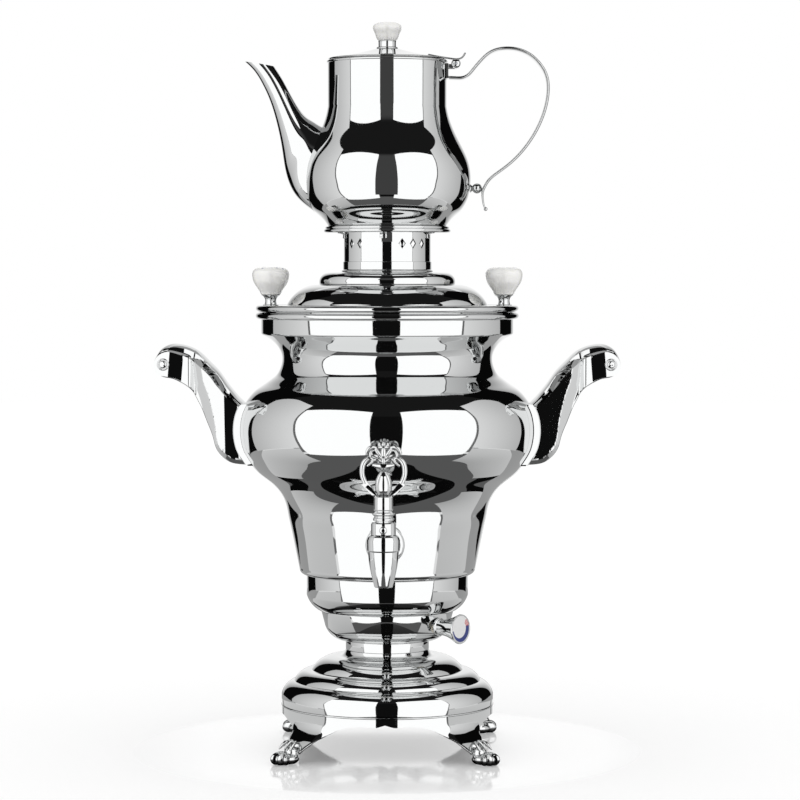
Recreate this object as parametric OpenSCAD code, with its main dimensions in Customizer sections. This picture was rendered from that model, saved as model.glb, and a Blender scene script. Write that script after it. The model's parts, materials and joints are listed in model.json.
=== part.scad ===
// Electric samovar: footed base, heated tank with a front tap, two side handles,
// a lid with a vented collar, and a teapot that stands on the collar.
// The origin is on the vertical axis at floor level, +Z is up and the tap faces -Y.

/* [Base] */
// Height of the skirt's top edge above the floor
foot_h = 36.5; // [34:0.5:42]
// Radius of the base ring and skirt
base_r = 83.3; // [80:0.5:90]
// Height of the stepped base dome
dome_h = 42.5; // [40:0.5:50]
// Thickness of the sheet that the base parts are pressed from
base_wall = 1.5; // [1.2:0.1:2]
// Width of each leg where it meets its paw
leg_w = 19.4; // [17:0.2:22]
// How far the paws' ankles stand out beyond the base ring
paw_out = 16.7; // [14:0.1:22]

/* [Pedestal] */
// Radius of the neck
neck_r = 32.7; // [30:0.5:36]
// Height of the neck
neck_h = 7.5; // [6:0.5:14]
// Largest radius of the control bowl
bowl_r = 52; // [50:0.5:53.5]
// Height of the control bowl
bowl_h = 23.8; // [22:0.2:28]
// Radius of the heater housing
housing_r = 63.5; // [60:0.5:66]
// Height of the heater housing
housing_h = 28.2; // [27:0.2:34]
// Radius of the tie rod that clamps the pedestal
tie_r = 3; // [2.5:0.5:4]

/* [Tank] */
// Thickness of the tank and lid sheet
tank_wall = 1.2; // [1:0.1:1.8]
// Radius at the tank's foot
vase_foot_r = 69.3; // [67:0.1:72]
// Radius at the top of the tapered lower part
vase_top_r = 79.1; // [77:0.1:83]
// Height of the tapered lower part
vase_h = 52.4; // [50:0.2:60]
// Largest radius of the belly
belly_r = 116.8; // [113:0.1:122]
// Height from the tapered part to the widest point of the belly
hip_h = 60.7; // [56:0.1:66]
// Height from the widest point to the narrowest point of the cove
shoulder_h = 54.9; // [50:0.1:60]
// Radius of the cove
cove_r = 82.5; // [80:0.1:86]
// Height of the cove's upper curve
cove_h = 20.6; // [18:0.1:24]
// Radius of the rim band
band_r = 98.9; // [96:0.1:102]
// Height of the rim band
band_h = 11.8; // [10:0.1:16]
// Radius of the wire that the tank's rim is rolled round
roll_r = 2.65; // [2.4:0.05:3]

/* [Tap] */
// Distance of the tap's vertical axis from the tank's axis
tap_reach = 132; // [131.5:0.5:138]
// Height of the shank above the tank's foot
tap_rise = 30; // [28:0.5:36]
// Radius of the tap's bore, which the key's plug turns in
tap_bore_r = 6; // [5.5:0.1:6.5]
// Outer radius of the shank tube
shank_r = 6.5; // [6:0.1:7]
// Width of the key's ring
key_w = 36; // [32:0.5:40]

/* [Side handles] */
// Distance of the grip bar from the tank's axis
grip_reach = 174.5; // [170:0.5:180]
// Width of a side handle from front to back
handle_w = 44; // [38:0.5:50]
// Thickness of a side handle's walls
handle_wall = 2.4; // [2:0.1:3]
// Radius of the grip bar's rounded tip
tip_r = 9.8; // [9:0.1:12]

/* [Lid and collar] */
// Outer radius of the lid's raised dome
lid_dome_r = 79; // [76:0.5:84]
// Radius of the lid's top step
lid_step_r = 53.3; // [50:0.1:58]
// Height of the lid from its rolled edge to the collar
lid_h = 31; // [29:0.5:36]
// Outer radius of the vented collar
collar_r = 34.1; // [32:0.1:38]
// Height of the vented collar
collar_h = 30.5; // [28:0.5:36]
// Outer radius of the ring that the teapot rests on
rest_r = 49.8; // [48:0.1:54]
// Distance of the porcelain knobs from the axis
knob_reach = 91.5; // [88:0.5:94]
// Largest radius of a porcelain lid knob
lid_knob_r = 14.5; // [12:0.5:16]

/* [Teapot] */
// Radius of the teapot's straight neck
pot_neck_r = 46.5; // [45:0.1:49]
// Largest radius of the teapot
pot_belly_r = 65.4; // [63:0.1:69]
// Height of the teapot's shell
pot_h = 133; // [128:0.5:140]
// Thickness of the teapot's sheet
pot_wall = 1.2; // [1:0.1:1.6]
// Width of the strap handle
strap_w = 18; // [14:0.5:22]
// Thickness of the strap handle
strap_t = 2.6; // [2:0.1:3.2]
// Largest radius of the knob on the teapot's lid
pot_knob_r = 11.3; // [10:0.1:13]

/* [Hidden] */
$fn = 96;

// Clearances: between bodies that part, and for shafts that turn
gap = 0.3;
run = 0.05;
// A cut runs this far past the wall it goes through
past = 1;

// Heights of the joints between the stacked pieces
z_dome = foot_h;
z_neck = z_dome + dome_h;
z_bowl = z_neck + neck_h;
z_housing = z_bowl + bowl_h;
z_tank = z_housing + housing_h;
z_vase_top = z_tank + vase_h;
z_belly = z_vase_top + hip_h;
z_cove = z_belly + shoulder_h;
z_band = z_cove + cove_h;
z_rim = z_band + band_h;
z_lid = z_rim + 2 * roll_r + 2 * gap;
lid_roll_r = roll_r - 0.15;
z_flange = z_lid + 2 * lid_roll_r - gap;
z_collar = z_lid + lid_h;
z_rest = z_collar + collar_h;
rest_h = 5.2;
rest_plate_t = 1.5;
z_pot = z_rest + rest_plate_t + gap;

// ---- Curves ----

// Part way from a to b
function mix(a, b, u) = a + (b - a) * u;
// A list read backwards
function flip(p) = [for (i = [len(p) - 1 : -1 : 0]) p[i]];
// A smooth curve through the points p, with n steps between neighbours
function spline(p, n = 4) = [
    for (i = [0 : len(p) - 2])
        let (a = p[max(i - 1, 0)], b = p[i], c = p[i + 1], d = p[min(i + 2, len(p) - 1)])
        for (k = [0 : n - 1])
            let (t = k / n)
            b + (c - a) * t / 2 + (a * 2 - b * 5 + c * 4 - d) * t * t / 2
              + (d - a + (b - c) * 3) * t * t * t / 2,
    p[len(p) - 1]];
// A circular arc from a to b that stands out to the right of the way by rise times half the chord
function arc(a, b, rise, n = 6) =
    let (half = (b - a) / 2,
         side = [half[1], -half[0]],
         turn = 4 * atan(rise),
         c = a + half - side * (1 - rise * rise) / (2 * rise))
    [for (k = [0 : n])
        let (w = k / n * turn, v = a - c)
        c + [v[0] * cos(w) - v[1] * sin(w), v[0] * sin(w) + v[1] * cos(w)]];
// Points placed between a and b by the shares in s
function shape(a, b, s) = [for (q = s) [mix(a[0], b[0], q[0]), mix(a[1], b[1], q[1])]];
// Unit normal on the left of the path at point i
function left(p, i) =
    let (v = p[min(i + 1, len(p) - 1)] - p[max(i - 1, 0)])
    [-v[1], v[0]] / norm(v);
// The path moved to its left by t
function beside(p, t) = [for (i = [0 : len(p) - 1]) p[i] + left(p, i) * t];
// Radius of a path at height z
function radius_at(p, z) = lookup(z, [for (q = p) [q[1], q[0]]]);

// A sheet of thickness t whose outside is the path p
module spun(p, t) {
    rotate_extrude() polygon(concat(p, flip(beside(p, t))));
}
// A flat ring
module ring(r_out, r_in, h) {
    rotate_extrude() translate([r_in, 0]) square([r_out - r_in, h]);
}
// A ring of round wire
module wire(r_mid, r_wire) {
    rotate_extrude() translate([r_mid, 0]) circle(r = r_wire, $fn = 32);
}
// A pair, one on each side of the YZ plane
module both_sides() {
    children();
    mirror([1, 0, 0]) children();
}
// ---- Feet and base ----

plate_t = 1.2;
paw_r = base_r + paw_out;
z_skirt_top = foot_h - plate_t;
paw_h = 13;
paw_screw_r = 1.5;
leg_t = 3;
ankle_r = 5.2;
ankle_h = 4;
ankle_at = paw_r - 1;
z_ankle = paw_h - 1;
knuckle_r = 4.2;
// Lower edge of the apron on one face, from its middle outwards: distance across, height
apron = [[0, 31], [4, 29.6], [10, 29.3], [22, 29], [29, 27.8], [32, 25.6], [36, 24.2], [46, 23.2], [52, 22.4],
         [base_r, 22]];

// The opening under the apron, seen from one face
module apron_gap() {
    edge = spline(apron, 3);
    w = edge[len(edge) - 1][0];
    rotate([90, 0, 0])
        linear_extrude(2 * base_r + 2 * past, center = true)
            polygon(concat([[w, -past]], flip(edge), [for (p = edge) [-p[0], p[1]]], [[-w, -past]]));
}
// Outside of the legs' flare: distance from the axis, height
function leg_outer() = spline([[base_r - 0.8, z_skirt_top - 3], [base_r + 0.6, 26], [paw_r - 11.5, 19.5],
                               [paw_r - 5, 15.6], [paw_r + 1.5, z_ankle + 0.4]], 3);
// Side of a leg: distance from its middle, height
function leg_side() = spline([[leg_w * 0.9, z_skirt_top], [leg_w * 0.85, 24.7], [leg_w * 0.63, 18.8], [leg_w / 2, 14.9],
                              [leg_w / 3, z_ankle - 1]], 2);
// The flared ring, of which only the four legs are kept
module legs() {
    edge = leg_outer();
    side = leg_side();
    intersection() {
        rotate_extrude() polygon(concat(edge, flip(beside(edge, -leg_t))));
        at_corners() rotate([90, 0, 90]) linear_extrude(paw_r + 5)
            polygon(concat(side, [for (p = flip(side)) [-p[0], p[1]]]));
    }
}
module foot_skirt() {
    color("gainsboro") {
        difference() {
            translate([0, 0, z_ankle]) ring(base_r, base_r - base_wall, z_skirt_top - z_ankle);
            apron_gap();
            rotate([0, 0, 90]) apron_gap();
        }
        difference() {
            union() {
                legs();
                at_corners() translate([ankle_at, 0, z_ankle]) cylinder(r = ankle_r, h = ankle_h);
            }
            cylinder(r = paw_r + 5, h = z_ankle);
            at_corners() translate([ankle_at, 0, z_ankle - past])
                cylinder(r = paw_screw_r + run, h = ankle_h - 0.6 + past);
        }
    }
}
// One copy at each of the four corners
module at_corners() {
    for (a = [45 : 90 : 315]) rotate([0, 0, a]) children();
}
// A lion's paw: four toes in front of a pad, with a flat sole on the floor
toe_pitch = 4.6;
pad_r = 8;
sole_r = 6.5;
module paw() {
    color("silver") intersection() {
        union() {
            translate([paw_r + 4, 0, 5.6]) sphere(r = pad_r);
            translate([ankle_at, 0, z_ankle - ankle_h]) cylinder(r = ankle_r, h = ankle_h);
            translate([paw_r + 4, 0, 0]) cylinder(r1 = sole_r, r2 = pad_r - 1, h = 3);
            for (k = [-1.5 : 1 : 1.5])
                translate([paw_r + 9.5 - abs(k) * 1.6, k * toe_pitch, 0]) {
                    translate([0, 0, 2.8]) sphere(r = knuckle_r - 1.2);
                    translate([-4, 0, 5]) sphere(r = knuckle_r);
                }
        }
        difference() {
            translate([paw_r - 14, -14, 0]) cube([40, 28, z_ankle]);
            translate([ankle_at, 0, -past]) cylinder(r = paw_screw_r + run, h = paw_h + 2 * past);
        }
    }
}
// A paw on the leg at the given angle from +X
module paw_at(a) {
    rotate([0, 0, a]) paw();
}
module paw_front_left() {
    paw_at(225);
}
module paw_front_right() {
    paw_at(315);
}
module paw_rear_left() {
    paw_at(135);
}
module paw_rear_right() {
    paw_at(45);
}
module paw_screws() {
    color("gray") at_corners() translate([ankle_at, 0, 1]) cylinder(r = paw_screw_r, h = z_ankle + ankle_h - 2);
}
module base_dome() {
    p1 = [mix(neck_r, base_r, 0.8), z_dome + 0.43 * dome_h];
    p2 = [mix(neck_r, base_r, 0.53), z_dome + 0.63 * dome_h];
    p3 = [mix(neck_r, base_r, 0.09), z_dome + 0.88 * dome_h];
    color("lightgray") difference() {
        union() {
            spun(concat([[base_r, z_dome]], arc([base_r, z_dome + 8], p1, 0.26), arc(p1, p2, 0.3),
                        arc(p2, p3, 0.3), arc(p3, [neck_r, z_neck], -0.3)), base_wall);
            translate([0, 0, z_neck - base_wall]) cylinder(r = neck_r - base_wall / 2, h = base_wall);
        }
        translate([0, 0, z_neck - base_wall - past]) cylinder(r = tie_r + 0.2, h = base_wall + 2 * past);
    }
}
module base_plate() {
    color("darkgray") translate([0, 0, z_skirt_top]) ring(base_r + 0.4, tie_r + 0.2, plate_t);
}

// ---- Pedestal ----

nut_h = 5;
nut_r = 2 * tie_r;
module neck() {
    color("gainsboro") translate([0, 0, z_neck]) ring(neck_r, neck_r - base_wall, neck_h);
}
knob_az = -39;
knob_rise = 13.7;
shaft_r = 3;
bush_r = 5;
z_knob = z_bowl + knob_rise;
bowl_foot_r = neck_r + 0.8;
function bowl_path() = concat([[tie_r + 0.2, z_bowl], [bowl_foot_r, z_bowl]],
                              arc([bowl_foot_r + 0.4, z_bowl], [bowl_r - 3.1, z_bowl + 11], 0.3),
                              [[bowl_r, z_housing - 1], [bowl_r, z_housing]]);
module control_bowl() {
    color("lightgray") difference() {
        spun(bowl_path(), base_wall);
        at_knob() cylinder(r = bush_r + run, h = 40);
    }
}
// Stands the Z axis along the thermostat's shaft, 30 mm out from the tank's axis
at_knob_start = 30;
module at_knob() {
    rotate([0, 0, knob_az]) translate([at_knob_start, 0, z_knob]) rotate([0, 90, 0]) children();
}
inlet_w = 28;
inlet_h = 20;
z_inlet = z_housing + 14;
inlet_flange_t = 3;
inlet_depth = 14;
module housing_ring() {
    color("gainsboro") difference() {
        spun(concat([[bowl_r - 8, z_housing]],
                    arc([bowl_r + 2, z_housing], [housing_r, z_housing + 12], 0.2),
                    [[housing_r, z_tank]]), base_wall);
        translate([-inlet_w / 2 - run, housing_r - inlet_w, z_inlet - inlet_h / 2 - run])
            cube([inlet_w + 2 * run, 2 * inlet_w, inlet_h + 2 * run]);
    }
}
module tie_rod() {
    color("dimgray") translate([0, 0, z_skirt_top - nut_h - 1])
        cylinder(r = tie_r, h = z_bowl + base_wall + nut_h + 1 - (z_skirt_top - nut_h - 1));
}
module tie_nuts() {
    color("gray") for (z = [z_skirt_top - nut_h, z_bowl + base_wall])
        translate([0, 0, z]) difference() {
            cylinder(r = nut_r, h = nut_h, $fn = 6);
            translate([0, 0, -past]) cylinder(r = tie_r + run, h = nut_h + 2 * past);
        }
}

// ---- Tank ----

vase_foot = [vase_foot_r, z_tank + 5];
vase_top = [vase_top_r, z_vase_top];
belly = [belly_r, z_belly];
cove = [cove_r, z_cove];
band_foot = [band_r - 0.8, z_band - 0.4];
function tank_path() = concat(
    [[0, z_tank], [vase_foot_r - 5.4, z_tank]],
    arc([vase_foot_r - 5, z_tank], vase_foot, 0.4, 5),
    spline(concat(
        shape(vase_foot, vase_top, [[0.02, 0.02], [0.35, 0.35], [0.7, 0.7], [0.88, 0.87]]),
        shape(vase_top, belly, [[0, 0], [0.093, 0.157], [0.178, 0.234], [0.302, 0.313], [0.615, 0.468],
                                [0.822, 0.638], [0.918, 0.741], [0.979, 0.872]]),
        shape(belly, cove, [[0, 0], [0.012, 0.129], [0.058, 0.259], [0.14, 0.373], [0.265, 0.488],
                            [0.394, 0.574], [0.589, 0.659], [0.781, 0.747], [0.863, 0.79], [0.945, 0.874]]),
        shape(cove, band_foot, [[0, 0], [0.024, 0.238], [0.09, 0.37], [0.26, 0.58], [0.6, 0.82], [1, 1]])), 3),
    [[band_r, z_band + 0.6], [band_r, z_rim + roll_r]]);
// Everything inside the tank's outer surface, grown by extra
module tank_block(extra = 0) {
    p = beside(tank_path(), -extra);
    rotate_extrude() polygon(concat([for (q = p) [max(q[0], 0), q[1]]], [[0, z_rim]]));
}
roll_mid = band_r + 1.7;
// The tank is welded up from four pressings: the part of its shell between two heights
module tank_pressing(z0, z1) {
    color("silver") intersection() {
        spun(tank_path(), tank_wall);
        translate([0, 0, z0]) cylinder(r = belly_r + past, h = z1 - z0);
    }
}
module tank_vase() {
    difference() {
        tank_pressing(z_tank, z_vase_top);
        at_tap() translate([0, 0, vase_foot_r / 2]) cylinder(r = shank_r + run, h = vase_foot_r);
    }
}
module tank_belly_lower() {
    difference() {
        tank_pressing(z_vase_top, z_belly);
        both_sides() at_root_bolts() root_bolt_hole();
    }
}
module tank_belly_upper() {
    difference() {
        tank_pressing(z_belly, z_cove);
        both_sides() at_root_bolts() root_bolt_hole();
    }
}
module tank_rim() {
    color("silver") union() {
        tank_pressing(z_cove, z_rim + 2 * roll_r);
        translate([0, 0, z_rim + roll_r]) wire(roll_mid, roll_r);
    }
}
// Heater parts, under the tank's floor
heat_plate_t = 4;
element_r = 4;
element_ring_r = 40;
module heat_plate() {
    color("darkgray") translate([0, 0, z_tank - heat_plate_t]) cylinder(r = housing_r - base_wall - 4, h = heat_plate_t);
}
z_element = z_tank - heat_plate_t - element_r - run;
module heating_ring() {
    color("dimgray") translate([0, 0, z_element]) {
        rotate([0, 0, 15]) rotate_extrude(angle = 330) translate([element_ring_r, 0]) circle(r = element_r, $fn = 32);
        for (a = [15, 345])
            rotate([0, 0, a]) translate([element_ring_r, 0, -12]) cylinder(r = 1.5, h = 12);
    }
}
module thermal_cutout() {
    color("saddlebrown") translate([0, 0, z_tank - heat_plate_t]) {
        translate([0, 0, -5]) cylinder(r = 8.5, h = 5);
        for (x = [-3.5, 3.5]) translate([x - 0.4, -3, -12]) cube([0.8, 6, 7.5]);
    }
}

// ---- Thermostat ----

bush_end = bowl_r - at_knob_start - 2;
knob_h = 22.5;
knob_root_r = 6;
knob_face_r = 11.6;
knob_start = bush_end + 2;
dial_t = 0.6;
module thermostat_body() {
    color("beige") difference() {
        union() {
            rotate([0, 0, knob_az]) translate([14, -12, z_knob - 6]) cube([24, 24, 14]);
            at_knob() cylinder(r = bush_r, h = bush_end);
        }
        at_knob() cylinder(r = shaft_r + run, h = bush_end + past);
    }
}
module thermostat_shaft() {
    color("gray") at_knob() translate([0, 0, 1]) cylinder(r = shaft_r, h = knob_start + 14 - 1);
}
module control_knob() {
    color("silver") at_knob() translate([0, 0, knob_start]) difference() {
        rotate_extrude() polygon(concat(
            [[0, 0], [knob_root_r + 1, 0], [knob_root_r + 1, 1.5]],
            spline([[knob_root_r, 2.2], [knob_root_r + 0.4, 7], [knob_root_r + 1.9, 13], [knob_face_r - 1, 19.5],
                    [knob_face_r, knob_h - 0.8]]),
            [[knob_face_r - 0.6, knob_h], [0, knob_h]]));
        translate([0, 0, -past]) cylinder(r = shaft_r + run, h = 14 + past);
        translate([0, 0, knob_h - dial_t]) cylinder(r = knob_face_r - 1, h = dial_t + past);
    }
}
module dial_disc() {
    color("white") at_knob() translate([0, 0, knob_start + knob_h - dial_t]) cylinder(r = knob_face_r - 1 - run, h = dial_t);
}

// ---- Appliance inlet at the rear ----

module inlet_socket() {
    mouth_w = 23;
    mouth_h = 15;
    color([0.12, 0.12, 0.12]) difference() {
        union() {
            translate([-inlet_w / 2, housing_r - 12, z_inlet - inlet_h / 2]) cube([inlet_w, 15, inlet_h]);
            translate([-inlet_w / 2 - 3, housing_r + gap, z_inlet - inlet_h / 2 - 2])
                cube([inlet_w + 6, inlet_flange_t, inlet_h + 4]);
        }
        translate([-mouth_w / 2, housing_r + gap + inlet_flange_t - inlet_depth, z_inlet - mouth_h / 2])
            cube([mouth_w, inlet_depth + past, mouth_h]);
    }
}
module inlet_pins() {
    color("gold") for (x = [-7, 0, 7])
        translate([x - 1, housing_r + gap + inlet_flange_t - inlet_depth, z_inlet - 2 + (x == 0 ? 2 : -1)])
            cube([2, inlet_depth - 3, 4]);
}

// ---- Tap ----

z_tap = z_tank + tap_rise;
escutcheon_r = 15;
escutcheon_t = 4;
washer_out = vase_top_r - 1;
nut_face = vase_foot_r - 0.5;
backnut_t = 6;
bell_r = 12.5;
barrel_r = 9.25;
z_bell_foot = z_tap - 26.5;
z_plug = z_tap - 8.5;
z_barrel_top = z_tap + 22;
boss_r = 8.8;
boss_end = tap_reach - 16;
shank_end = tap_reach - 10.5;
port_r = 3.4;
outlet_r = 4.6;

// Stands the Z axis along the shank, from the tank's axis out towards the tap
module at_tap() {
    translate([0, 0, z_tap]) rotate([90, 0, 0]) children();
}
// Stands the origin on the tap's own axis, at floor level
module on_tap() {
    translate([0, -tap_reach, 0]) children();
}
module tap_washer() {
    color("whitesmoke") {
        difference() {
            at_tap() translate([0, 0, 60]) ring(escutcheon_r - 1.5, shank_r + run, washer_out - 60);
            tank_block(run);
        }
        intersection() {
            at_tap() translate([0, 0, nut_face]) ring(escutcheon_r - 3, shank_r + run, 20);
            tank_block(-tank_wall - run);
        }
    }
}
module tap_escutcheon() {
    color("silver") at_tap() translate([0, 0, washer_out]) rotate_extrude() polygon(concat(
        [[shank_r + run, 0], [escutcheon_r, 0]],
        arc([escutcheon_r, 1.6], [escutcheon_r - 3, escutcheon_t], 0.4), [[shank_r + run, escutcheon_t]]));
}
module tap_backnut() {
    color("gray") at_tap() translate([0, 0, nut_face - backnut_t]) difference() {
        cylinder(r = 1.8 * shank_r, h = backnut_t, $fn = 6);
        translate([0, 0, -past]) cylinder(r = shank_r + run, h = backnut_t + 2 * past);
    }
}
module tap_shank() {
    inner = nut_face - backnut_t - 3;
    color("silver") at_tap() translate([0, 0, inner]) ring(shank_r, shank_r - 2, shank_end - inner);
}
module tap_body() {
    color("silver") on_tap() difference() {
        union() {
            rotate_extrude() polygon(concat(
                [[0, z_bell_foot], [6.2, z_bell_foot]],
                spline([[6.7, z_bell_foot + 0.6], [8.6, z_bell_foot + 8], [10.9, z_bell_foot + 18],
                        [bell_r - 0.3, z_bell_foot + 27]]),
                [[bell_r, z_bell_foot + 27.4], [bell_r, z_bell_foot + 36]],
                arc([bell_r, z_bell_foot + 36.4], [barrel_r + 0.6, z_bell_foot + 38.6], 0.3),
                [[barrel_r, z_bell_foot + 38.6], [barrel_r, z_barrel_top], [0, z_barrel_top]]));
            translate([0, 0, z_tap]) rotate([-90, 0, 0]) cylinder(r = boss_r, h = tap_reach - boss_end);
        }
        translate([0, 0, z_plug]) cylinder(r = tap_bore_r, h = 60);
        translate([0, 0, z_bell_foot - past]) cylinder(r = outlet_r, h = 30);
        translate([0, 0, z_tap]) rotate([-90, 0, 0]) {
            cylinder(r = port_r, h = tap_reach);
            translate([0, 0, tap_reach - shank_end]) cylinder(r = shank_r + run, h = tap_reach);
        }
        translate([0, 0, z_tap + 16.5]) rotate([90, 0, 0]) cylinder(r = 1.6 + run, h = 20);
    }
}
module tap_stop_pin() {
    color("gainsboro") on_tap() translate([0, -tap_bore_r - 0.5, z_tap + 16.5]) rotate([90, 0, 0]) {
        cylinder(r = 1.6, h = 4.5);
        translate([0, 0, 3.4]) cylinder(r = 2.3, h = 1.4);
    }
}
key_foot = z_barrel_top + 1.2;
module key_plug() {
    color("lightgray") on_tap() difference() {
        rotate_extrude() polygon([[0, z_plug + gap], [tap_bore_r - run, z_plug + gap],
                                  [tap_bore_r - run, key_foot], [0, key_foot]]);
        translate([0, 0, z_plug - past]) cylinder(r = port_r, h = 12 + past);
        translate([0, 0, z_tap]) rotate([0, 90, 0]) cylinder(r = port_r, h = 20);
    }
}
// Key: collars and stem below, then two bars, a ring with scrolls and a palmette
stem_r = 7;
stem_h = 18;
bar_r = 1.7;
z_stem_top = key_foot + stem_h;
ring_mid_r = key_w / 2 - bar_r;
key_collar_r = 7.6;
z_key_ring = z_stem_top + 20;
// A bar of round rod from a to b in the key's plane
module bar(a, b, r) {
    v = b - a;
    translate([a[0], 0, a[1]]) rotate([0, atan2(v[0], v[1]), 0]) cylinder(r = r, h = norm(v), $fn = 24);
}
// A part of a ring of rod in the key's plane, from angle a0 through sweep
module hoop(c, r, rod, a0, sweep) {
    translate([c[0], 0, c[1]]) rotate([90, 0, 0]) rotate([0, 0, a0])
        rotate_extrude(angle = sweep) translate([r, 0]) circle(r = rod, $fn = 24);
}
module key_handle() {
    color("silver") on_tap() {
        rotate_extrude() polygon(concat(
            [[0, key_foot], [key_collar_r, key_foot], [key_collar_r, key_foot + 2]],
            arc([key_collar_r - 1, key_foot + 2.6], [key_collar_r - 1, key_foot + 6.2], 0.5),
            [[key_collar_r - 0.4, key_foot + 6.8], [key_collar_r - 0.4, key_foot + 7.8], [stem_r - 0.6, key_foot + 8.4],
             [stem_r - 0.6, z_stem_top - 0.6], [stem_r - 1.2, z_stem_top], [0, z_stem_top]]));
        translate([0, 0, z_stem_top - 0.5]) rotate_extrude() polygon(concat(
            [[0, 0], [3, 0]], spline([[3, 0.2], [5.6, 4], [6.2, 8], [5, 13], [2.6, 17.6]]), [[0, 18.4]]));
        both_sides() {
            bar([4.4, z_stem_top - 1], [ring_mid_r - 3.4, z_key_ring - 10], bar_r + 0.3);
            hoop([0, z_key_ring], ring_mid_r, bar_r, -44, 85);
            hoop([9, z_key_ring + 6.8], 3.4, 1.2, -20, 250);
            hoop([8.4, z_key_ring + 12.4], 3.6, 1.3, 10, 170);
            hoop([3.4, z_key_ring + 7.6], 2.9, 1.1, 20, 160);
        }
        translate([0, 0, z_key_ring + 8]) palmette();
    }
}
// Five leaves that fan out from one root
module palmette() {
    rotate([90, 0, 0]) linear_extrude(3, center = true)
        for (k = [-2 : 2]) rotate([0, 0, k * 24])
            polygon(concat(arc([-1.1, 0], [0, 12 - abs(k) * 2], -0.35), arc([0, 12 - abs(k) * 2], [1.1, 0], -0.35)));
}

// ---- Side handles ----

z_grip = z_belly + 52;
root_top = [belly_r - 5, z_belly + 23];
root_foot = [belly_r - 10, z_belly - 27.6];
grip_at = [grip_reach, z_grip];
bar_grip_r = 5.2;
root_bolt_r = 2.5;
grip_screw_r = 2;
grip_screw_reach = 13;
// Top edge of a side handle, from its root to the tip
tip_line = [[-0.1, 1.47], [0.35, 1.14], [0.67, 0.65], [0.84, 0.12], [0.81, -0.35], [0.53, -0.8], [0.1, -1]];
tip_top = grip_at + [-0.56, 1.61] * tip_r;
function handle_top() = spline(concat([root_top + [-8, 1]],
    shape(root_top, tip_top, [[0, 0], [0.086, 0.098], [0.147, 0.183], [0.205, 0.277], [0.274, 0.393],
                              [0.362, 0.545], [0.493, 0.714], [0.607, 0.853], [0.729, 0.942], [0.886, 0.998],
                              [1, 1]])), 2);
// Lower edge, from the tip back to the root
function handle_low() = spline(concat([grip_at + [-1, -tip_r], grip_at + [-4.5, -tip_r - 0.6]],
    shape(root_foot, grip_at, [[0.838, 0.842], [0.749, 0.799], [0.675, 0.749], [0.623, 0.673], [0.557, 0.56],
                               [0.498, 0.435], [0.431, 0.296], [0.387, 0.171], [0.313, 0.09], [0.217, 0.038],
                               [0.084, 0.02], [-0.064, 0.012], [-0.18, 0]])), 2);
// Round of the tip, which goes on from the top edge
function handle_tip() = spline([for (q = tip_line) grip_at + q * tip_r], 2);
pad_t = 5;
pad_margin = 4;
// The belly where the handles seat, as a solid grown by extra
module belly_block(extra = 0) {
    p = [for (q = tank_path()) if (q[1] > root_foot[1] - 20 && q[1] < root_top[1] + 25) q];
    grown = beside(p, -extra);
    rotate_extrude() polygon(concat([[0, grown[0][1]]], grown, [[0, grown[len(grown) - 1][1]]]));
}
module handle() {
    top = handle_top();
    tip = handle_tip();
    inside = beside(concat([for (q = top) if (q[0] > root_top[0] + 4) q], tip), -handle_wall);
    last = inside[len(inside) - 1];
    difference() {
        union() {
            rotate([90, 0, 0]) linear_extrude(handle_w, center = true) polygon(concat(top, tip, handle_low()));
            intersection() {
                belly_block(pad_t);
                translate([0, -handle_w / 2 - pad_margin, root_foot[1] - 1])
                    cube([grip_reach, handle_w + 2 * pad_margin, root_top[1] - root_foot[1] - 1]);
            }
        }
        rotate([90, 0, 0]) linear_extrude(handle_w - 2 * handle_wall, center = true)
            polygon(concat(inside, [[last[0], root_foot[1] - 20], [inside[0][0], root_foot[1] - 20]]));
        belly_block(run);
        translate([grip_at[0], 0, grip_at[1]]) rotate([90, 0, 0])
            cylinder(r = grip_screw_r + run, h = handle_w + 2 * past, center = true);
        at_root_bolts() root_bolt_hole();
    }
}
module handle_right() {
    color("silver") handle();
}
module handle_left() {
    color("silver") mirror([1, 0, 0]) handle();
}
// Stands the Z axis along each root bolt, pointing out from the belly
module at_root_bolts() {
    for (y = [-1, 1], z = [z_belly - 12, z_belly + 10])
        translate([belly_r - 6, y * (handle_w / 2 - 10), z]) rotate([0, 90, 0]) children();
}
module root_bolt_hole() {
    translate([0, 0, -4 * pad_t]) cylinder(r = root_bolt_r + run, h = 8 * pad_t);
}
module grip_bar() {
    span = handle_w - 2 * handle_wall;
    color("gainsboro") translate([grip_at[0], 0, grip_at[1]]) rotate([90, 0, 0]) difference() {
        cylinder(r = bar_grip_r, h = span, center = true);
        cylinder(r = grip_screw_r + run, h = span + 2 * past, center = true);
    }
}
module grip_right() {
    grip_bar();
}
module grip_left() {
    mirror([1, 0, 0]) grip_bar();
}
module grip_screws() {
    color("gray") both_sides() for (s = [-1, 1])
        translate([grip_at[0], s * handle_w / 2, grip_at[1]]) rotate([-s * 90, 0, 0]) {
            rotate_extrude() polygon(concat([[0, 0], [4.7, 0]], arc([4.7, 0.5], [1.6, 1.8], 0.3), [[0, 1.8]]));
            translate([0, 0, -grip_screw_reach]) cylinder(r = grip_screw_r, h = grip_screw_reach);
        }
}
module root_bolts() {
    color("gray") both_sides() at_root_bolts() translate([0, 0, -8]) {
        cylinder(r = 4.4, h = 3);
        cylinder(r = root_bolt_r, h = 14);
    }
}

// ---- Lid and collar ----

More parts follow.
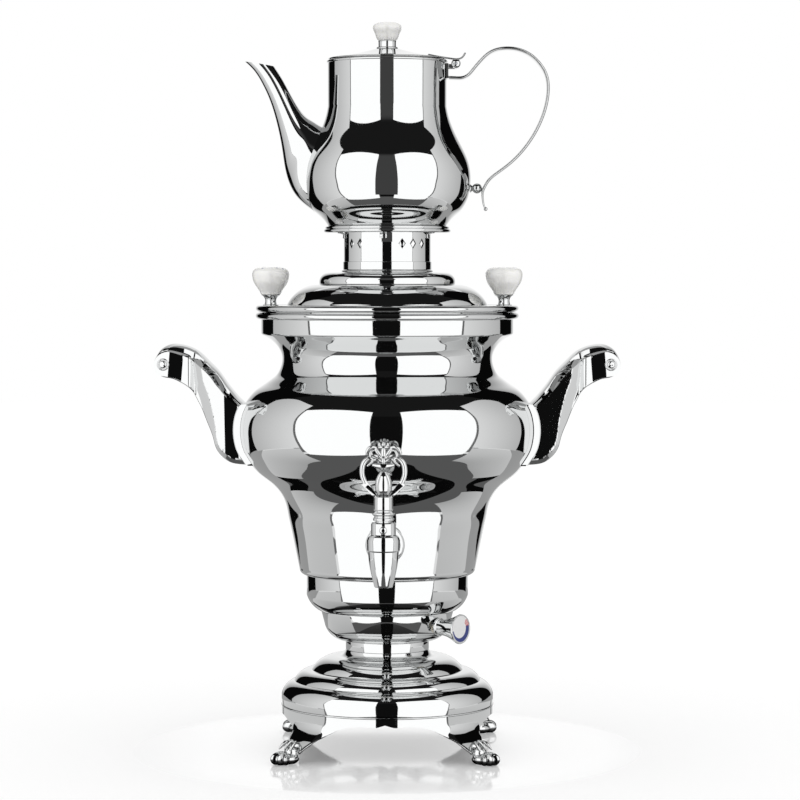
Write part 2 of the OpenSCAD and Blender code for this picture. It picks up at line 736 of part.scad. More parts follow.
lid_hole_r = collar_r - 6;
plug_skirt_r = band_r - tank_wall - 1.2;
plug_skirt_h = 9;
z_dome_foot = z_flange;
lid_dome_h = 16.5;
module lid() {
    z_step = z_dome_foot + lid_dome_h;
    color("silver") difference() {
        union() {
            spun(concat([[roll_mid, z_flange]], arc([lid_dome_r, z_dome_foot], [lid_step_r + 0.6, z_step], 0.3),
                        arc([lid_step_r, z_step + 0.6], [lid_step_r - 6, z_collar - 0.6], 0.42),
                        [[lid_hole_r, z_collar]]), tank_wall);
            translate([0, 0, z_lid + lid_roll_r]) wire(roll_mid, lid_roll_r);
            translate([0, 0, z_flange - plug_skirt_h]) ring(plug_skirt_r, plug_skirt_r - tank_wall, plug_skirt_h - 0.4);
        }
        at_lid_knobs() translate([0, 0, -10]) cylinder(r = 2.6, h = 20);
    }
}
// Stands the origin on the lid's flange under each porcelain knob
module at_lid_knobs() {
    both_sides() translate([knob_reach, 0, z_flange]) children();
}
ferrule_h = 8.4;
module knob_ferrules() {
    color("gainsboro") at_lid_knobs() rotate_extrude() polygon(concat(
        [[0, -3.6], [3.4, -3.6], [3.4, -1.7], [2.5, -1.7], [2.5, 0], [4.9, 0]],
        spline([[4.9, 0.6], [4.5, 4.4], [5.2, 6], [7.4, ferrule_h]]), [[0, ferrule_h]]));
}
module porcelain(r, h, foot_r) {
    rotate_extrude() polygon(concat([[0, 0], [foot_r - 0.6, 0]],
        spline([[foot_r, 0.4], [foot_r + 0.4, h * 0.1], [r - 1.7, h * 0.42], [r - 0.2, h * 0.6], [r, h * 0.7],
                [r - 0.8, h * 0.86], [r * 0.8, h * 0.955], [r * 0.6, h * 0.99], [r * 0.3, h]]), [[0, h]]));
}
lid_knob_h = 22;
lid_knob_foot_r = 9.2;
module lid_knob_right() {
    color("white") translate([knob_reach, 0, z_flange + ferrule_h]) porcelain(lid_knob_r, lid_knob_h, lid_knob_foot_r);
}
module lid_knob_left() {
    color("white") translate([-knob_reach, 0, z_flange + ferrule_h]) porcelain(lid_knob_r, lid_knob_h, lid_knob_foot_r);
}
vent_w = 5.7;
vent_h = 7.8;
vent_pitch = 16;
z_vent = z_collar + collar_h - 8.5;
module collar() {
    color("silver") difference() {
        union() {
            translate([0, 0, z_collar]) ring(collar_r, collar_r - tank_wall, collar_h);
            translate([0, 0, z_collar]) ring(collar_r + 0.7, collar_r - 0.6, 8);
        }
        for (group = [0 : 90 : 270], k = [-1 : 1])
            rotate([0, 0, group - 53 + k * vent_pitch]) translate([collar_r - 6, 0, z_vent]) rotate([90, 0, 90])
                linear_extrude(12) polygon([[0, -vent_h / 2], [vent_w / 2, 0], [0, vent_h / 2], [-vent_w / 2, 0]]);
    }
}
rest_roll_r = 1.6;
rest_clip_h = 4;
module pot_rest() {
    r_mid = rest_r - rest_roll_r;
    color("silver") translate([0, 0, z_rest]) {
        ring(r_mid, collar_r - 7, rest_plate_t);
        ring(r_mid, r_mid - 1.2, rest_h - rest_roll_r);
        translate([0, 0, rest_roll_r]) wire(r_mid, rest_roll_r);
        translate([0, 0, rest_h - rest_roll_r + 0.2]) wire(r_mid, rest_roll_r - 0.3);
        for (k = [0 : 4]) rotate([0, 0, -94 + 72 * k])
            translate([collar_r + 0.3, -3, -rest_clip_h]) cube([3.6, 6, rest_clip_h + 0.5]);
    }
}

// ---- Teapot ----

z_pot_rim = z_pot + pot_h;
pot_foot = [pot_neck_r - 3, z_pot];
pot_belly = [pot_belly_r, z_pot + 40];
pot_shoulder = [pot_neck_r, z_pot + 97];
function pot_path() = concat(
    [[0, z_pot]],
    spline(concat(
        shape(pot_foot, pot_belly, [[0, 0], [0.13, 0.09], [0.23, 0.17], [0.44, 0.29], [0.66, 0.4],
                                    [0.8, 0.515], [0.9, 0.64], [0.975, 0.84]]),
        shape(pot_belly, pot_shoulder, [[0, 0], [0.01, 0.08], [0.1, 0.24], [0.31, 0.41], [0.6, 0.6],
                                        [0.81, 0.76], [0.94, 0.9], [1, 1]])), 3),
    [[pot_neck_r, z_pot_rim]]);
module pot_block(extra = 0) {
    p = beside(pot_path(), -extra);
    rotate_extrude() polygon(concat([for (q = p) [max(q[0], 0), q[1]]], [[0, z_pot_rim]]));
}
module pot_shell() {
    color("silver") difference() {
        union() {
            spun(pot_path(), pot_wall);
            translate([0, 0, z_pot_rim - 1.3]) wire(pot_neck_r - 0.2, 1.1);
        }
        for (row = [-2 : 2], k = [-1 : 1])
            translate([-pot_belly_r - 5, k * 9 + (row % 2) * 4.5, z_pot + 48 + row * 8]) rotate([0, 90, 0])
                cylinder(r = 2, h = 30, $fn = 24);
    }
}
// Spout: rings of points that leave the pot's wall and close in towards the slanted mouth.
// Each ring is an oval, given by its outer point, its inner point and half its width.
spout_wall = 1.3;
spout_foot_w = 21;
spout_foot_low = z_pot + 14;
spout_foot_high = z_pot + 81;
spout_cuts = [
    [[-87, 86], [-62, 89], 12.5],
    [[-91.5, 99.5], [-69.5, 99.5], 10.5],
    [[-97.2, 112.3], [-77.5, 113.5], 9],
    [[-103.4, 124], [-84.8, 123.5], 8.2],
    [[-111.2, 133.3], [-89.4, 128.4], 7.5]];
spout_sides = 24;
spout_blend = 7;
// Filler between a soldered foot and the sheet under it
seat = gap;
// Point k of the oval between two points of the pot's symmetry plane, drawn in by inset
function oval_point(outer, inner, w, inset, k) =
    let (a = 360 * k / spout_sides, mid = (outer + inner) / 2, v = (outer - inner) / 2,
         u = v * (1 - inset / norm(v)))
    [mid[0] + u[0] * cos(a), (w - inset) * sin(a), mid[1] + u[1] * cos(a)];
// Point k of the spout's foot, on the pot's own surface
function foot_point(inset, k) =
    let (a = 360 * k / spout_sides,
         z = (spout_foot_high + spout_foot_low) / 2 - ((spout_foot_high - spout_foot_low) / 2 - inset) * cos(a),
         y = (spout_foot_w - inset) * sin(a), r = radius_at(pot_path(), z) + seat)
    [-sqrt(r * r - y * y), y, z];
function cut_at(i) = [spout_cuts[i][0] + [0, z_pot], spout_cuts[i][1] + [0, z_pot], spout_cuts[i][2]];
// Ring s (0 to 1) of the flare between the foot and the first cut, a Bezier curve for each point
function flare_ring(s, inset) = [for (k = [0 : spout_sides - 1])
    let (c = cut_at(0), u = (1 + cos(360 * k / spout_sides)) / 2,
         p0 = foot_point(inset, k), p3 = oval_point(c[0], c[1], c[2], inset, k),
         p1 = p0 + [mix(-4.5, -18.6, u), 0, mix(0.4, 17, u)],
         p2 = p3 + [mix(4, 3, u), 0, mix(-4.5, -26, u)])
    p0 * pow(1 - s, 3) + p1 * (3 * s * pow(1 - s, 2)) + p2 * (3 * s * s * (1 - s)) + p3 * pow(s, 3)];
function spout_rings(inset) = concat(
    [for (i = [0 : spout_blend - 1]) flare_ring(i / spout_blend, inset)],
    [for (i = [0 : len(spout_cuts) - 1]) let (c = cut_at(i))
        [for (k = [0 : spout_sides - 1]) oval_point(c[0], c[1], c[2], inset, k)]]);
module pot_spout() {
    color("silver") tube(concat(spout_rings(0), flip(spout_rings(spout_wall))));
}
// A closed band through rings of points whose last ring joins the first
module tube(rings) {
    n = len(rings[0]);
    m = len(rings);
    polyhedron(
        points = [for (r = rings) each r],
        faces = [for (i = [0 : m - 1]) for (k = [0 : n - 1])
            let (j = (i + 1) % m, a = i * n + k, b = i * n + (k + 1) % n, c = j * n + (k + 1) % n, d = j * n + k)
            each [[a, b, c], [a, c, d]]],
        convexity = 6);
}
bracket_t = 1.8;
// Middle line of the strap handle, from its hinge end down to the tail: distance beyond the neck, share of the pot's height
strap_clear = 0.15;
strap_drop = 13.8;
strap_start = pot_neck_r + bracket_t + 0.1;
strap_line = [[0, 1 - strap_drop / pot_h], [5.6, 0.893], [12.8, 0.906], [18.4, 0.94], [24.5, 0.995], [31.6, 1.042],
              [38.8, 1.063], [46.7, 1.068], [53, 1.062], [61.3, 1.038], [70.2, 0.98], [75.7, 0.91], [77.2, 0.827],
              [75.8, 0.743], [72.2, 0.655], [64.8, 0.546], [56.2, 0.459], [46.5, 0.388], [37.1, 0.335], [30.9, 0.295],
              [27.5, 0.253], [26.2, 0.223], [26.4, 0.179], [27.4, 0.143], [28.6, 0.126]];
module pot_handle() {
    line = spline([for (p = strap_line) [strap_start + p[0], z_pot + p[1] * pot_h]], 3);
    end = line[len(line) - 1];
    color("silver") rotate([90, 0, 0]) {
        linear_extrude(strap_w, center = true)
            polygon(concat(beside(line, strap_t / 2), flip(beside(line, -strap_t / 2))));
        translate([end[0], end[1], -strap_w / 2]) cylinder(r = 1.8, h = strap_w);
    }
}
stud_r = 4.1;
stud_at = [strap_start + 21.8, z_pot + 0.248 * pot_h];
module handle_stud() {
    color("silver") difference() {
        union() {
            translate([stud_at[0], 0, stud_at[1]]) sphere(r = stud_r);
            translate([stud_at[0] - 9, 0, stud_at[1]]) rotate([0, 90, 0]) cylinder(r = 2.4, h = 9);
        }
        pot_block(0.05);
        translate([strap_start + 26.4 - strap_t / 2 - 0.1, -6, stud_at[1] - 8]) cube([10, 12, 16]);
    }
}
hinge_at = [pot_neck_r + 7.2, z_pot_rim - 3];
hinge_r = 3.6;
hinge_w = 16;
leaf_w = 7;
pin_r = 1.5;
// A knuckle of the hinge between two places across the pot
module knuckle(y0, y1, r) {
    translate([hinge_at[0], y1, hinge_at[1]]) rotate([90, 0, 0]) cylinder(r = r, h = y1 - y0);
}
module hinge_bracket() {
    low = z_pot_rim - strap_drop - strap_t / 2 - gap;
    color("silver") difference() {
        union() {
            intersection() {
                translate([0, 0, low]) ring(pot_neck_r + bracket_t, pot_neck_r + run, strap_drop - 0.8);
                translate([0, -hinge_w / 2, low - past]) cube([2 * pot_neck_r, hinge_w, 2 * hinge_w]);
            }
            for (y = [-hinge_w / 2, leaf_w / 2 + gap])
                translate([pot_neck_r + 0.6, y, hinge_at[1] - hinge_r])
                    cube([hinge_at[0] - pot_neck_r - 0.6, hinge_w / 2 - leaf_w / 2 - gap, hinge_r]);
            knuckle(leaf_w / 2 + gap, hinge_w / 2, hinge_r);
            knuckle(-hinge_w / 2, -leaf_w / 2 - gap, hinge_r);
        }
        knuckle(-20, 20, pin_r + run);
        translate([0, 0, low - past]) cylinder(r = pot_neck_r + run, h = 2 * hinge_w);
        translate([0, 0, z_pot_rim - 1.3]) wire(pot_neck_r - 0.2, 1.15);
        translate([strap_start - strap_clear, -strap_w / 2 - past, z_pot_rim - strap_drop - strap_t / 2 - gap])
            cube([strap_w, strap_w + 2 * past, strap_t + 2 * gap]);
    }
}
module hinge_pin() {
    color("gray") knuckle(-hinge_w / 2 - 0.6, hinge_w / 2 + 0.6, pin_r);
}
pot_lid_r = pot_neck_r - 0.3;
z_pot_lid = z_pot_rim + gap;
pot_lid_rise = 8.6;
module pot_lid() {
    color("silver") {
        spun(concat([[pot_lid_r - 0.4, z_pot_lid]], [[pot_lid_r, z_pot_lid + 0.5]],
                    arc([pot_lid_r - 0.2, z_pot_lid + 1], [9, z_pot_lid + pot_lid_rise], 0.1),
                    [[0, z_pot_lid + pot_lid_rise]]), 1);
        translate([0, 0, z_pot_lid - 2.4]) ring(pot_neck_r - 2.9, pot_neck_r - 3.9, 3.4);
    }
}
module lid_leaf() {
    top = z_pot_lid;
    p = [[pot_neck_r - 14, top + 6.4], [pot_neck_r - 4, top + 3.8], [pot_neck_r + 3.2, top + 1.9],
         [hinge_at[0] + 1.6, hinge_at[1] + hinge_r - 0.4], [hinge_at[0] + 4.2, hinge_at[1] + 5.6],
         [hinge_at[0] + 7.4, hinge_at[1] + 9]];
    line = spline(p, 3);
    color("silver") difference() {
        union() {
            rotate([90, 0, 0]) linear_extrude(leaf_w, center = true)
                polygon(concat(beside(line, 0.6), flip(beside(line, -0.6))));
            knuckle(-leaf_w / 2, leaf_w / 2, hinge_r);
        }
        knuckle(-20, 20, pin_r + run);
    }
}
pot_ferrule_h = 6;
pot_knob_h = 14.6;
module pot_knob_ferrule() {
    color("gainsboro") translate([0, 0, z_pot_lid + pot_lid_rise]) rotate_extrude() polygon(
        [[0, 0], [8.4, 0], [8.4, 0.8], [6.9, 1.6], [6.9, pot_ferrule_h - 0.6], [7.3, pot_ferrule_h],
         [0, pot_ferrule_h]]);
}
module pot_knob() {
    color("white") translate([0, 0, z_pot_lid + pot_lid_rise + pot_ferrule_h]) porcelain(pot_knob_r, pot_knob_h, 7.6);
}

foot_skirt();
paw_front_left();
paw_front_right();
paw_rear_left();
paw_rear_right();
paw_screws();
base_dome();
base_plate();
neck();
control_bowl();
housing_ring();
tie_rod();
tie_nuts();
tank_vase();
tank_belly_lower();
tank_belly_upper();
tank_rim();
heat_plate();
heating_ring();
thermal_cutout();
thermostat_body();
thermostat_shaft();
control_knob();
dial_disc();
inlet_socket();
inlet_pins();
tap_washer();
tap_escutcheon();
tap_backnut();
tap_shank();
tap_body();
tap_stop_pin();
key_plug();
key_handle();
handle_left();
handle_right();
grip_left();
grip_right();
grip_screws();
root_bolts();
lid();
lid_knob_left();
lid_knob_right();
knob_ferrules();
collar();
pot_rest();
pot_shell();
pot_spout();
pot_handle();
handle_stud();
hinge_bracket();
hinge_pin();
pot_lid();
lid_leaf();
pot_knob();
pot_knob_ferrule();
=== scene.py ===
"""A footed electric samovar with a teapot on its lid, dressed for looks.

Points are worked out in millimetres, in the same frame as the construction model: the origin is on the
vertical axis at floor level, +Z is up and the tap faces -Y. They turn to metres when a mesh is made.
"""
import json
import math

import bmesh
import bpy
import numpy as np
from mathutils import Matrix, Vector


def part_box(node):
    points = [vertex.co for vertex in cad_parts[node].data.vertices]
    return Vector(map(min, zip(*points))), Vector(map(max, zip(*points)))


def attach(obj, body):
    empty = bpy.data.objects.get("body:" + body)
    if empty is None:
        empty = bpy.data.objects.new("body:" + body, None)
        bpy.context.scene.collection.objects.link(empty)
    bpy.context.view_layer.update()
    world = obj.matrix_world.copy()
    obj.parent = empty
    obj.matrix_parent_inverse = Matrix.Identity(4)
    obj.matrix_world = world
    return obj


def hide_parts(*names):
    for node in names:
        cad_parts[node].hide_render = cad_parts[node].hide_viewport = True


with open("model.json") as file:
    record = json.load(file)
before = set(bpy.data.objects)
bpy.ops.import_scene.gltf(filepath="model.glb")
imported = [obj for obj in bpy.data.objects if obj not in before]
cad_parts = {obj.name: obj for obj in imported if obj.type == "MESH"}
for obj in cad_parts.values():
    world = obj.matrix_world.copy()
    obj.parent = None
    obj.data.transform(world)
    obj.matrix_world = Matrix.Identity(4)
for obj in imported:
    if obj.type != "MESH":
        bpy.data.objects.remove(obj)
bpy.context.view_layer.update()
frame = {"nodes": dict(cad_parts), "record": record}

MM = 0.001
# Points round a full turn of a large piece
TURNS = 224
# How far before and after a corner its easing starts
EDGE_R = 0.45
# Directions of the four legs, in degrees from +X
CORNERS = {"rear_right": 45, "rear_left": 135, "front_left": 225, "front_right": 315}
BODY_OF = {node: body for body, nodes in frame["record"]["behaviour"]["bodies"].items() for node in nodes}


def lowest(node):
    """Lowest corner of a node's box, in millimetres."""
    return np.array(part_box(node)[0]) / MM


def highest(node):
    """Highest corner of a node's box, in millimetres."""
    return np.array(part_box(node)[1]) / MM


def centre_of(node):
    """Centre of a node's box, in millimetres."""
    return (lowest(node) + highest(node)) / 2


def size_of(node):
    """Lengths of a node's box, in millimetres."""
    return highest(node) - lowest(node)


# ---- Levels and radii that the pieces share ----

Z_SKIRT_TOP = highest("foot_skirt")[2]
Z_DOME = lowest("base_dome")[2]
Z_NECK = lowest("neck")[2]
Z_BOWL = lowest("control_bowl")[2]
Z_HOUSING = lowest("housing_ring")[2]
Z_TANK = lowest("tank_vase")[2]
Z_VASE_TOP = lowest("tank_belly_lower")[2]
Z_BELLY = lowest("tank_belly_upper")[2]
Z_COVE = lowest("tank_rim")[2]
Z_BAND = Z_COVE + 20.6
Z_RIM = Z_BAND + 11.8
Z_TANK_TOP = highest("tank_rim")[2]
Z_COLLAR = lowest("collar")[2]
Z_REST = lowest("pot_rest")[2] + 4
Z_POT = lowest("pot_shell")[2]
Z_POT_RIM = highest("pot_shell")[2]

BASE_R = highest("base_dome")[0]
NECK_R = highest("neck")[0]
BOWL_R = highest("control_bowl")[0]
HOUSING_R = highest("housing_ring")[0]
VASE_FOOT_R = 69.3
VASE_TOP_R = 79.1
BELLY_R = highest("tank_belly_lower")[0]
COVE_R = 82.5
BAND_R = 98.9
ROLL_R = 2.65
ROLL_MID = highest("tank_rim")[0] - ROLL_R
COLLAR_R = highest("collar")[0] - 0.7
POT_NECK_R = 46.5
POT_BELLY_R = highest("pot_shell")[0]

# Thickness of the sheet of the base, of the tank with its lid, and of the teapot
BASE_SHEET = 1.5
TANK_SHEET = 1.2
POT_SHEET = 1.2

# ---- Curves ----


def smooth(points, step=0.8):
    """Natural cubic spline through the points, in equal steps: each coordinate is a cubic of the distance
    along the chords, whose second derivative is continuous and nothing at both ends."""
    p = np.asarray(points, float)
    s = np.concatenate([[0], np.cumsum(np.linalg.norm(np.diff(p, axis=0), axis=1))])
    h = np.diff(s)
    slope = np.diff(p, axis=0) / h[:, None]
    a, b = np.eye(len(p)), np.zeros_like(p)
    k = np.arange(1, len(p) - 1)
    a[k, k - 1], a[k, k], a[k, k + 1] = h[:-1], 2 * (h[:-1] + h[1:]), h[1:]
    b[1:-1] = 6 * np.diff(slope, axis=0)
    m = np.linalg.solve(a, b)
    t = np.linspace(0, s[-1], max(3, int(np.ceil(s[-1] / step)) + 1))
    i = np.clip(np.searchsorted(s, t, side="right") - 1, 0, len(h) - 1)
    u, w = (t - s[i])[:, None], h[i][:, None]
    start = slope[i] - w * (2 * m[i] + m[i + 1]) / 6
    return p[i] + u * start + u**2 * m[i] / 2 + u**3 * (m[i + 1] - m[i]) / (6 * w)


def arc(a, b, rise, steps=14):
    """Circular arc from a to b that stands out to the right of the way by rise times half the chord."""
    a, b = np.array(a, float), np.array(b, float)
    half = (b - a) / 2
    centre = a + half - np.array([half[1], -half[0]]) * (1 - rise**2) / (2 * rise)
    w = np.linspace(0, 4 * math.atan(rise), steps)[:, None]
    v = a - centre
    return centre + np.hstack([v[0] * np.cos(w) - v[1] * np.sin(w), v[0] * np.sin(w) + v[1] * np.cos(w)])


def shape(a, b, shares):
    """Points placed between a and b by their shares of the way across and up."""
    a, b = np.array(a, float), np.array(b, float)
    return a + (b - a) * np.array(shares, float)


def joined(*runs):
    """One path through several runs of points, one after another."""
    return np.vstack([np.atleast_2d(np.asarray(r, float)) for r in runs])


def lengths(v):
    """Length of each vector, kept as a column."""
    return np.maximum(np.linalg.norm(v, axis=-1, keepdims=True), 1e-9)


def eased(path, radius=EDGE_R, closed=False):
    """The path with each corner sharper than 22 degrees eased: between the points that lie radius before and
    after the corner it follows a parabola that is tangent to both sides."""
    steps, least = 5, math.cos(math.radians(22))
    p = np.asarray(path, float)
    before, after = p - np.roll(p, 1, axis=0), np.roll(p, -1, axis=0) - p
    nb, na = lengths(before), lengths(after)
    sharp = (before * after).sum(-1) / (nb * na)[:, 0] < least
    if not closed:
        sharp[[0, -1]] = False
    cut = np.minimum(radius, 0.45 * np.minimum(nb, na)) * sharp[:, None]
    t = np.linspace(0, 1, steps)[None, :, None]
    start, end = (p - before / nb * cut)[:, None], (p + after / na * cut)[:, None]
    curve = (1 - t) ** 2 * start + 2 * t * (1 - t) * p[:, None] + t**2 * end
    keep = np.repeat(sharp[:, None], steps, axis=1)
    keep[:, 0] = True
    return curve[keep]


def beside(path, t):
    """The flat path moved to its left by t along its normals."""
    v = np.gradient(np.asarray(path, float), axis=0)
    return path + t * np.column_stack([-v[:, 1], v[:, 0]]) / lengths(v)


def sheet_loop(outside, t):
    """Closed outline of a sheet of thickness t whose outer face is the path."""
    return eased(joined(outside, beside(outside, t)[::-1]), closed=True)


def ramp(x, a, b):
    """Rises smoothly from 0 at a to 1 at b: 3 s squared minus 2 s cubed, with s the share of the way."""
    s = np.clip((x - a) / (b - a), 0, 1)
    return s * s * (3 - 2 * s)


def round_turn(count):
    """Directions spread evenly round a full turn."""
    return np.linspace(0, 2 * np.pi, count, endpoint=False)


def around(a, r, z):
    """Points at distance r from the vertical axis in the directions a, at height z: x is r times the cosine
    of the direction, y is r times its sine."""
    return np.stack(np.broadcast_arrays(r * np.cos(a), r * np.sin(a), z), axis=-1)


def upright(path, y=0.0):
    """A flat path of (across, height) stood in the XZ plane, at a place in y."""
    p = np.asarray(path, float)
    return np.column_stack([p[:, 0], np.broadcast_to(y, len(p)), p[:, 1]])


# ---- Surfaces ----


def quads(rows, cols, rows_wrap=False, cols_wrap=False):
    """Quads between neighbours of a grid of points that is stored row by row."""
    i = np.arange(rows if rows_wrap else rows - 1)[:, None]
    j = np.arange(cols if cols_wrap else cols - 1)[None, :]
    i2, j2 = (i + 1) % rows, (j + 1) % cols
    return np.stack([i * cols + j, i * cols + j2, i2 * cols + j2, i2 * cols + j], axis=-1).reshape(-1, 4)


def lofted(rings, rows_wrap=False, cols_wrap=True):
    """Surface through rows of points that correspond."""
    rings = np.asarray(rings, float)
    return rings.reshape(-1, 3), quads(*rings.shape[:2], rows_wrap, cols_wrap)


def capped(rings):
    """Surface through rings of points, closed at each end in the middle of its last ring."""
    caps = [np.broadcast_to(rings[i].mean(axis=0), rings[i].shape)[None] for i in (0, -1)]
    return lofted(np.concatenate([caps[0], rings, caps[1]]))


def revolved(profile, closed=True, turns=TURNS):
    """A profile of (distance from the axis, height) turned about the vertical axis."""
    profile = np.asarray(profile, float)
    return lofted(around(round_turn(turns), profile[:, :1], profile[:, 1:]), closed)


def turned_solid(profile, turns=96, ease=EDGE_R):
    """A turned solid whose profile starts and ends on the axis."""
    return revolved(eased(profile, ease), False, turns)


def spun(outside, t):
    """A turned sheet of thickness t."""
    return revolved(sheet_loop(outside, t))


def torus(r_mid, r_wire, z):
    """A ring of round wire at height z."""
    a = round_turn(28)
    return revolved(np.column_stack([r_mid + r_wire * np.cos(a), z + r_wire * np.sin(a)]))


def rod(path, radius, across, sides=20, flat=1.0):
    """Rod along a path that bends in one plane, whose normal is across. Every ring lies at radius times the
    cosine of the turn along that normal, where flat stretches it, and radius times its sine beside the path.
    Both ends are domed."""
    p = np.asarray(path, float)
    r = np.broadcast_to(np.asarray(radius, float), len(p))
    n = np.asarray(across, float)
    w = np.linspace(0, np.pi / 2, 7)[1:, None]
    head, tail = (p[0] - p[1]) / lengths(p[0] - p[1]), (p[-1] - p[-2]) / lengths(p[-1] - p[-2])
    p = np.vstack([(p[0] + head * r[0] * np.sin(w))[::-1], p, p[-1] + tail * r[-1] * np.sin(w)])
    r = np.concatenate([r[0] * np.cos(w[::-1, 0]), r, r[-1] * np.cos(w[:, 0])])
    t = np.gradient(p, axis=0)
    side = np.cross(t / lengths(t), n)
    a = round_turn(sides)[None, :, None]
    return lofted(p[:, None] + r[:, None, None] * (np.cos(a) * n * flat + np.sin(a) * side[:, None]))


def slab(outline, y0, y1, ease=EDGE_R):
    """Plate in the XZ plane between two places in y. Its outline is seen from the middle of its points, runs
    counterclockwise as seen from -y, and its edges are eased by drawing the end rows in towards that
    middle."""
    p = np.asarray(outline, float)
    centre = p.mean(axis=0)
    inward = (centre - p) / lengths(centre - p)
    edge = [(p + inward * ease * drawn, ease * deep) for drawn, deep in ((1, 0), (0.3, 0.3), (0, 1))]
    rows = [(centre + 0 * p, y0)] + [(q, y0 + deep) for q, deep in edge]
    rows += [(q, y1 - deep) for q, deep in edge[::-1]] + [(centre + 0 * p, y1)]
    return lofted([upright(q, y) for q, y in rows])


def moved(part, by):
    """The part moved by a vector."""
    return part[0] + np.asarray(by, float), part[1]


def spin(points, degrees, axis=2):
    """Points turned about one of the frame's axes."""
    c, s = math.cos(math.radians(degrees)), math.sin(math.radians(degrees))
    i, j = [(1, 2), (2, 0), (0, 1)][axis]
    p = points.copy()
    p[..., i], p[..., j] = points[..., i] * c - points[..., j] * s, points[..., i] * s + points[..., j] * c
    return p


def turned(part, degrees, axis=2):
    """The part turned about one of the frame's axes."""
    return spin(part[0], degrees, axis), part[1]


def flipped(part):
    """The part with its faces turned over."""
    return part[0], part[1][:, ::-1]


def mirrored(part):
    """The part seen in the YZ plane, with its faces turned over so that they still point outwards."""
    return flipped((part[0] * [-1, 1, 1], part[1]))


def piece(name, parts, nodes, finish, sharp=34):
    """One mesh object made of parts, each a pair of points and faces. It rides on its nodes' body and stands
    for them."""
    parts = parts if isinstance(parts, list) else [parts]
    nodes = [nodes] if isinstance(nodes, str) else nodes
    starts = np.cumsum([0] + [len(p[0]) for p in parts])
    mesh = bpy.data.meshes.new(name)
    faces = np.vstack([p[1] + start for p, start in zip(parts, starts)])
    mesh.from_pydata(np.vstack([p[0] for p in parts]) * MM, [], faces.tolist())
    bm = bmesh.new()
    bm.from_mesh(mesh)
    bmesh.ops.remove_doubles(bm, verts=bm.verts, dist=1e-7)
    bmesh.ops.dissolve_degenerate(bm, edges=bm.edges, dist=1e-7)
    bm.to_mesh(mesh)
    bm.free()
    mesh.shade_smooth()
    mesh.set_sharp_from_angle(angle=math.radians(sharp))
    mesh.materials.append(finish)
    o = bpy.data.objects.new(name, mesh)
    bpy.context.scene.collection.objects.link(o)
    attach(o, BODY_OF[nodes[0]])
    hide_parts(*nodes)


# ---- Finishes ----


def linear(hex_colour):
    """Linear colour of an sRGB hex value."""
    c = np.array([int(hex_colour[i : i + 2], 16) for i in (1, 3, 5)]) / 255
    return (*np.where(c <= 0.04045, c / 12.92, ((c + 0.055) / 1.055) ** 2.4), 1.0)


def add(tree, kind, inputs=None, **settings):
    """Adds a node. Its settings are its own properties, and each input is a value or another node's
    output."""
    n = tree.nodes.new(kind)
    for name, value in settings.items():
        setattr(n, name, value)
    for name, value in (inputs or {}).items():
        if isinstance(value, bpy.types.NodeSocket):
            tree.links.new(value, n.inputs[name])
        else:
            n.inputs[name].default_value = value
    return n


def new_finish(name):
    """An empty material and its node tree."""
    m = bpy.data.materials.new(name)
    m.use_nodes = True
    m.node_tree.nodes.clear()
    return m, m.node_tree


def polished_chrome():
    """Steel sheet, pressed, polished and chrome plated: a clear mirror with the faint waves, about 70 mm
    long, that pressing leaves and a trace of haze in patches about 35 mm wide where hands and cloths have
    been."""
    m, t = new_finish("chrome_plated_steel_polished")
    at = add(t, "ShaderNodeTexCoord").outputs["Object"]
    haze = add(t, "ShaderNodeTexNoise", {"Vector": at, "Scale": 28.0, "Detail": 3.0, "Roughness": 0.6})
    rough = add(t, "ShaderNodeMapRange", {"Value": haze.outputs["Fac"], "From Min": 0.35, "From Max": 0.75,
                                          "To Min": 0.02, "To Max": 0.045})
    waves = add(t, "ShaderNodeTexNoise", {"Vector": at, "Scale": 14.0, "Detail": 1.0})
    bump = add(t, "ShaderNodeBump", {"Height": waves.outputs["Fac"], "Strength": 0.12, "Distance": 0.0006})
    shader = add(t, "ShaderNodeBsdfPrincipled", {"Base Color": linear("#D9DADA"), "Metallic": 1.0,
                                                 "Roughness": rough.outputs[0], "Normal": bump.outputs[0]})
    add(t, "ShaderNodeOutputMaterial", {"Surface": shader.outputs[0]})
    return m


def mottled(name, dark, light, scale, rough, metallic, bump):
    """A finish whose colour and roughness wander between two values, in patches of which the given number
    fits in a metre. Its surface has a grain of the given depth in millimetres. The grain is 0.6 mm wide,
    which is coarser than the real one, so that it shows."""
    m, t = new_finish(name)
    at = add(t, "ShaderNodeTexCoord").outputs["Object"]
    spots = add(t, "ShaderNodeTexNoise", {"Vector": at, "Scale": scale, "Detail": 5.0}).outputs["Fac"]
    colour = add(t, "ShaderNodeMix", {"Factor": spots, "A": linear(dark), "B": linear(light)},
                 data_type="RGBA")
    shine = add(t, "ShaderNodeMapRange", {"Value": spots, "To Min": rough[0], "To Max": rough[1]})
    grain = add(t, "ShaderNodeTexNoise", {"Vector": at, "Scale": 1800.0, "Detail": 2.0})
    relief = add(t, "ShaderNodeBump", {"Height": grain.outputs["Fac"], "Strength": 0.4,
                                       "Distance": bump * MM})
    shader = add(t, "ShaderNodeBsdfPrincipled", {"Base Color": colour.outputs["Result"], "Metallic": metallic,
                                                 "Roughness": shine.outputs[0], "Normal": relief.outputs[0]})
    add(t, "ShaderNodeOutputMaterial", {"Surface": shader.outputs[0]})
    return m


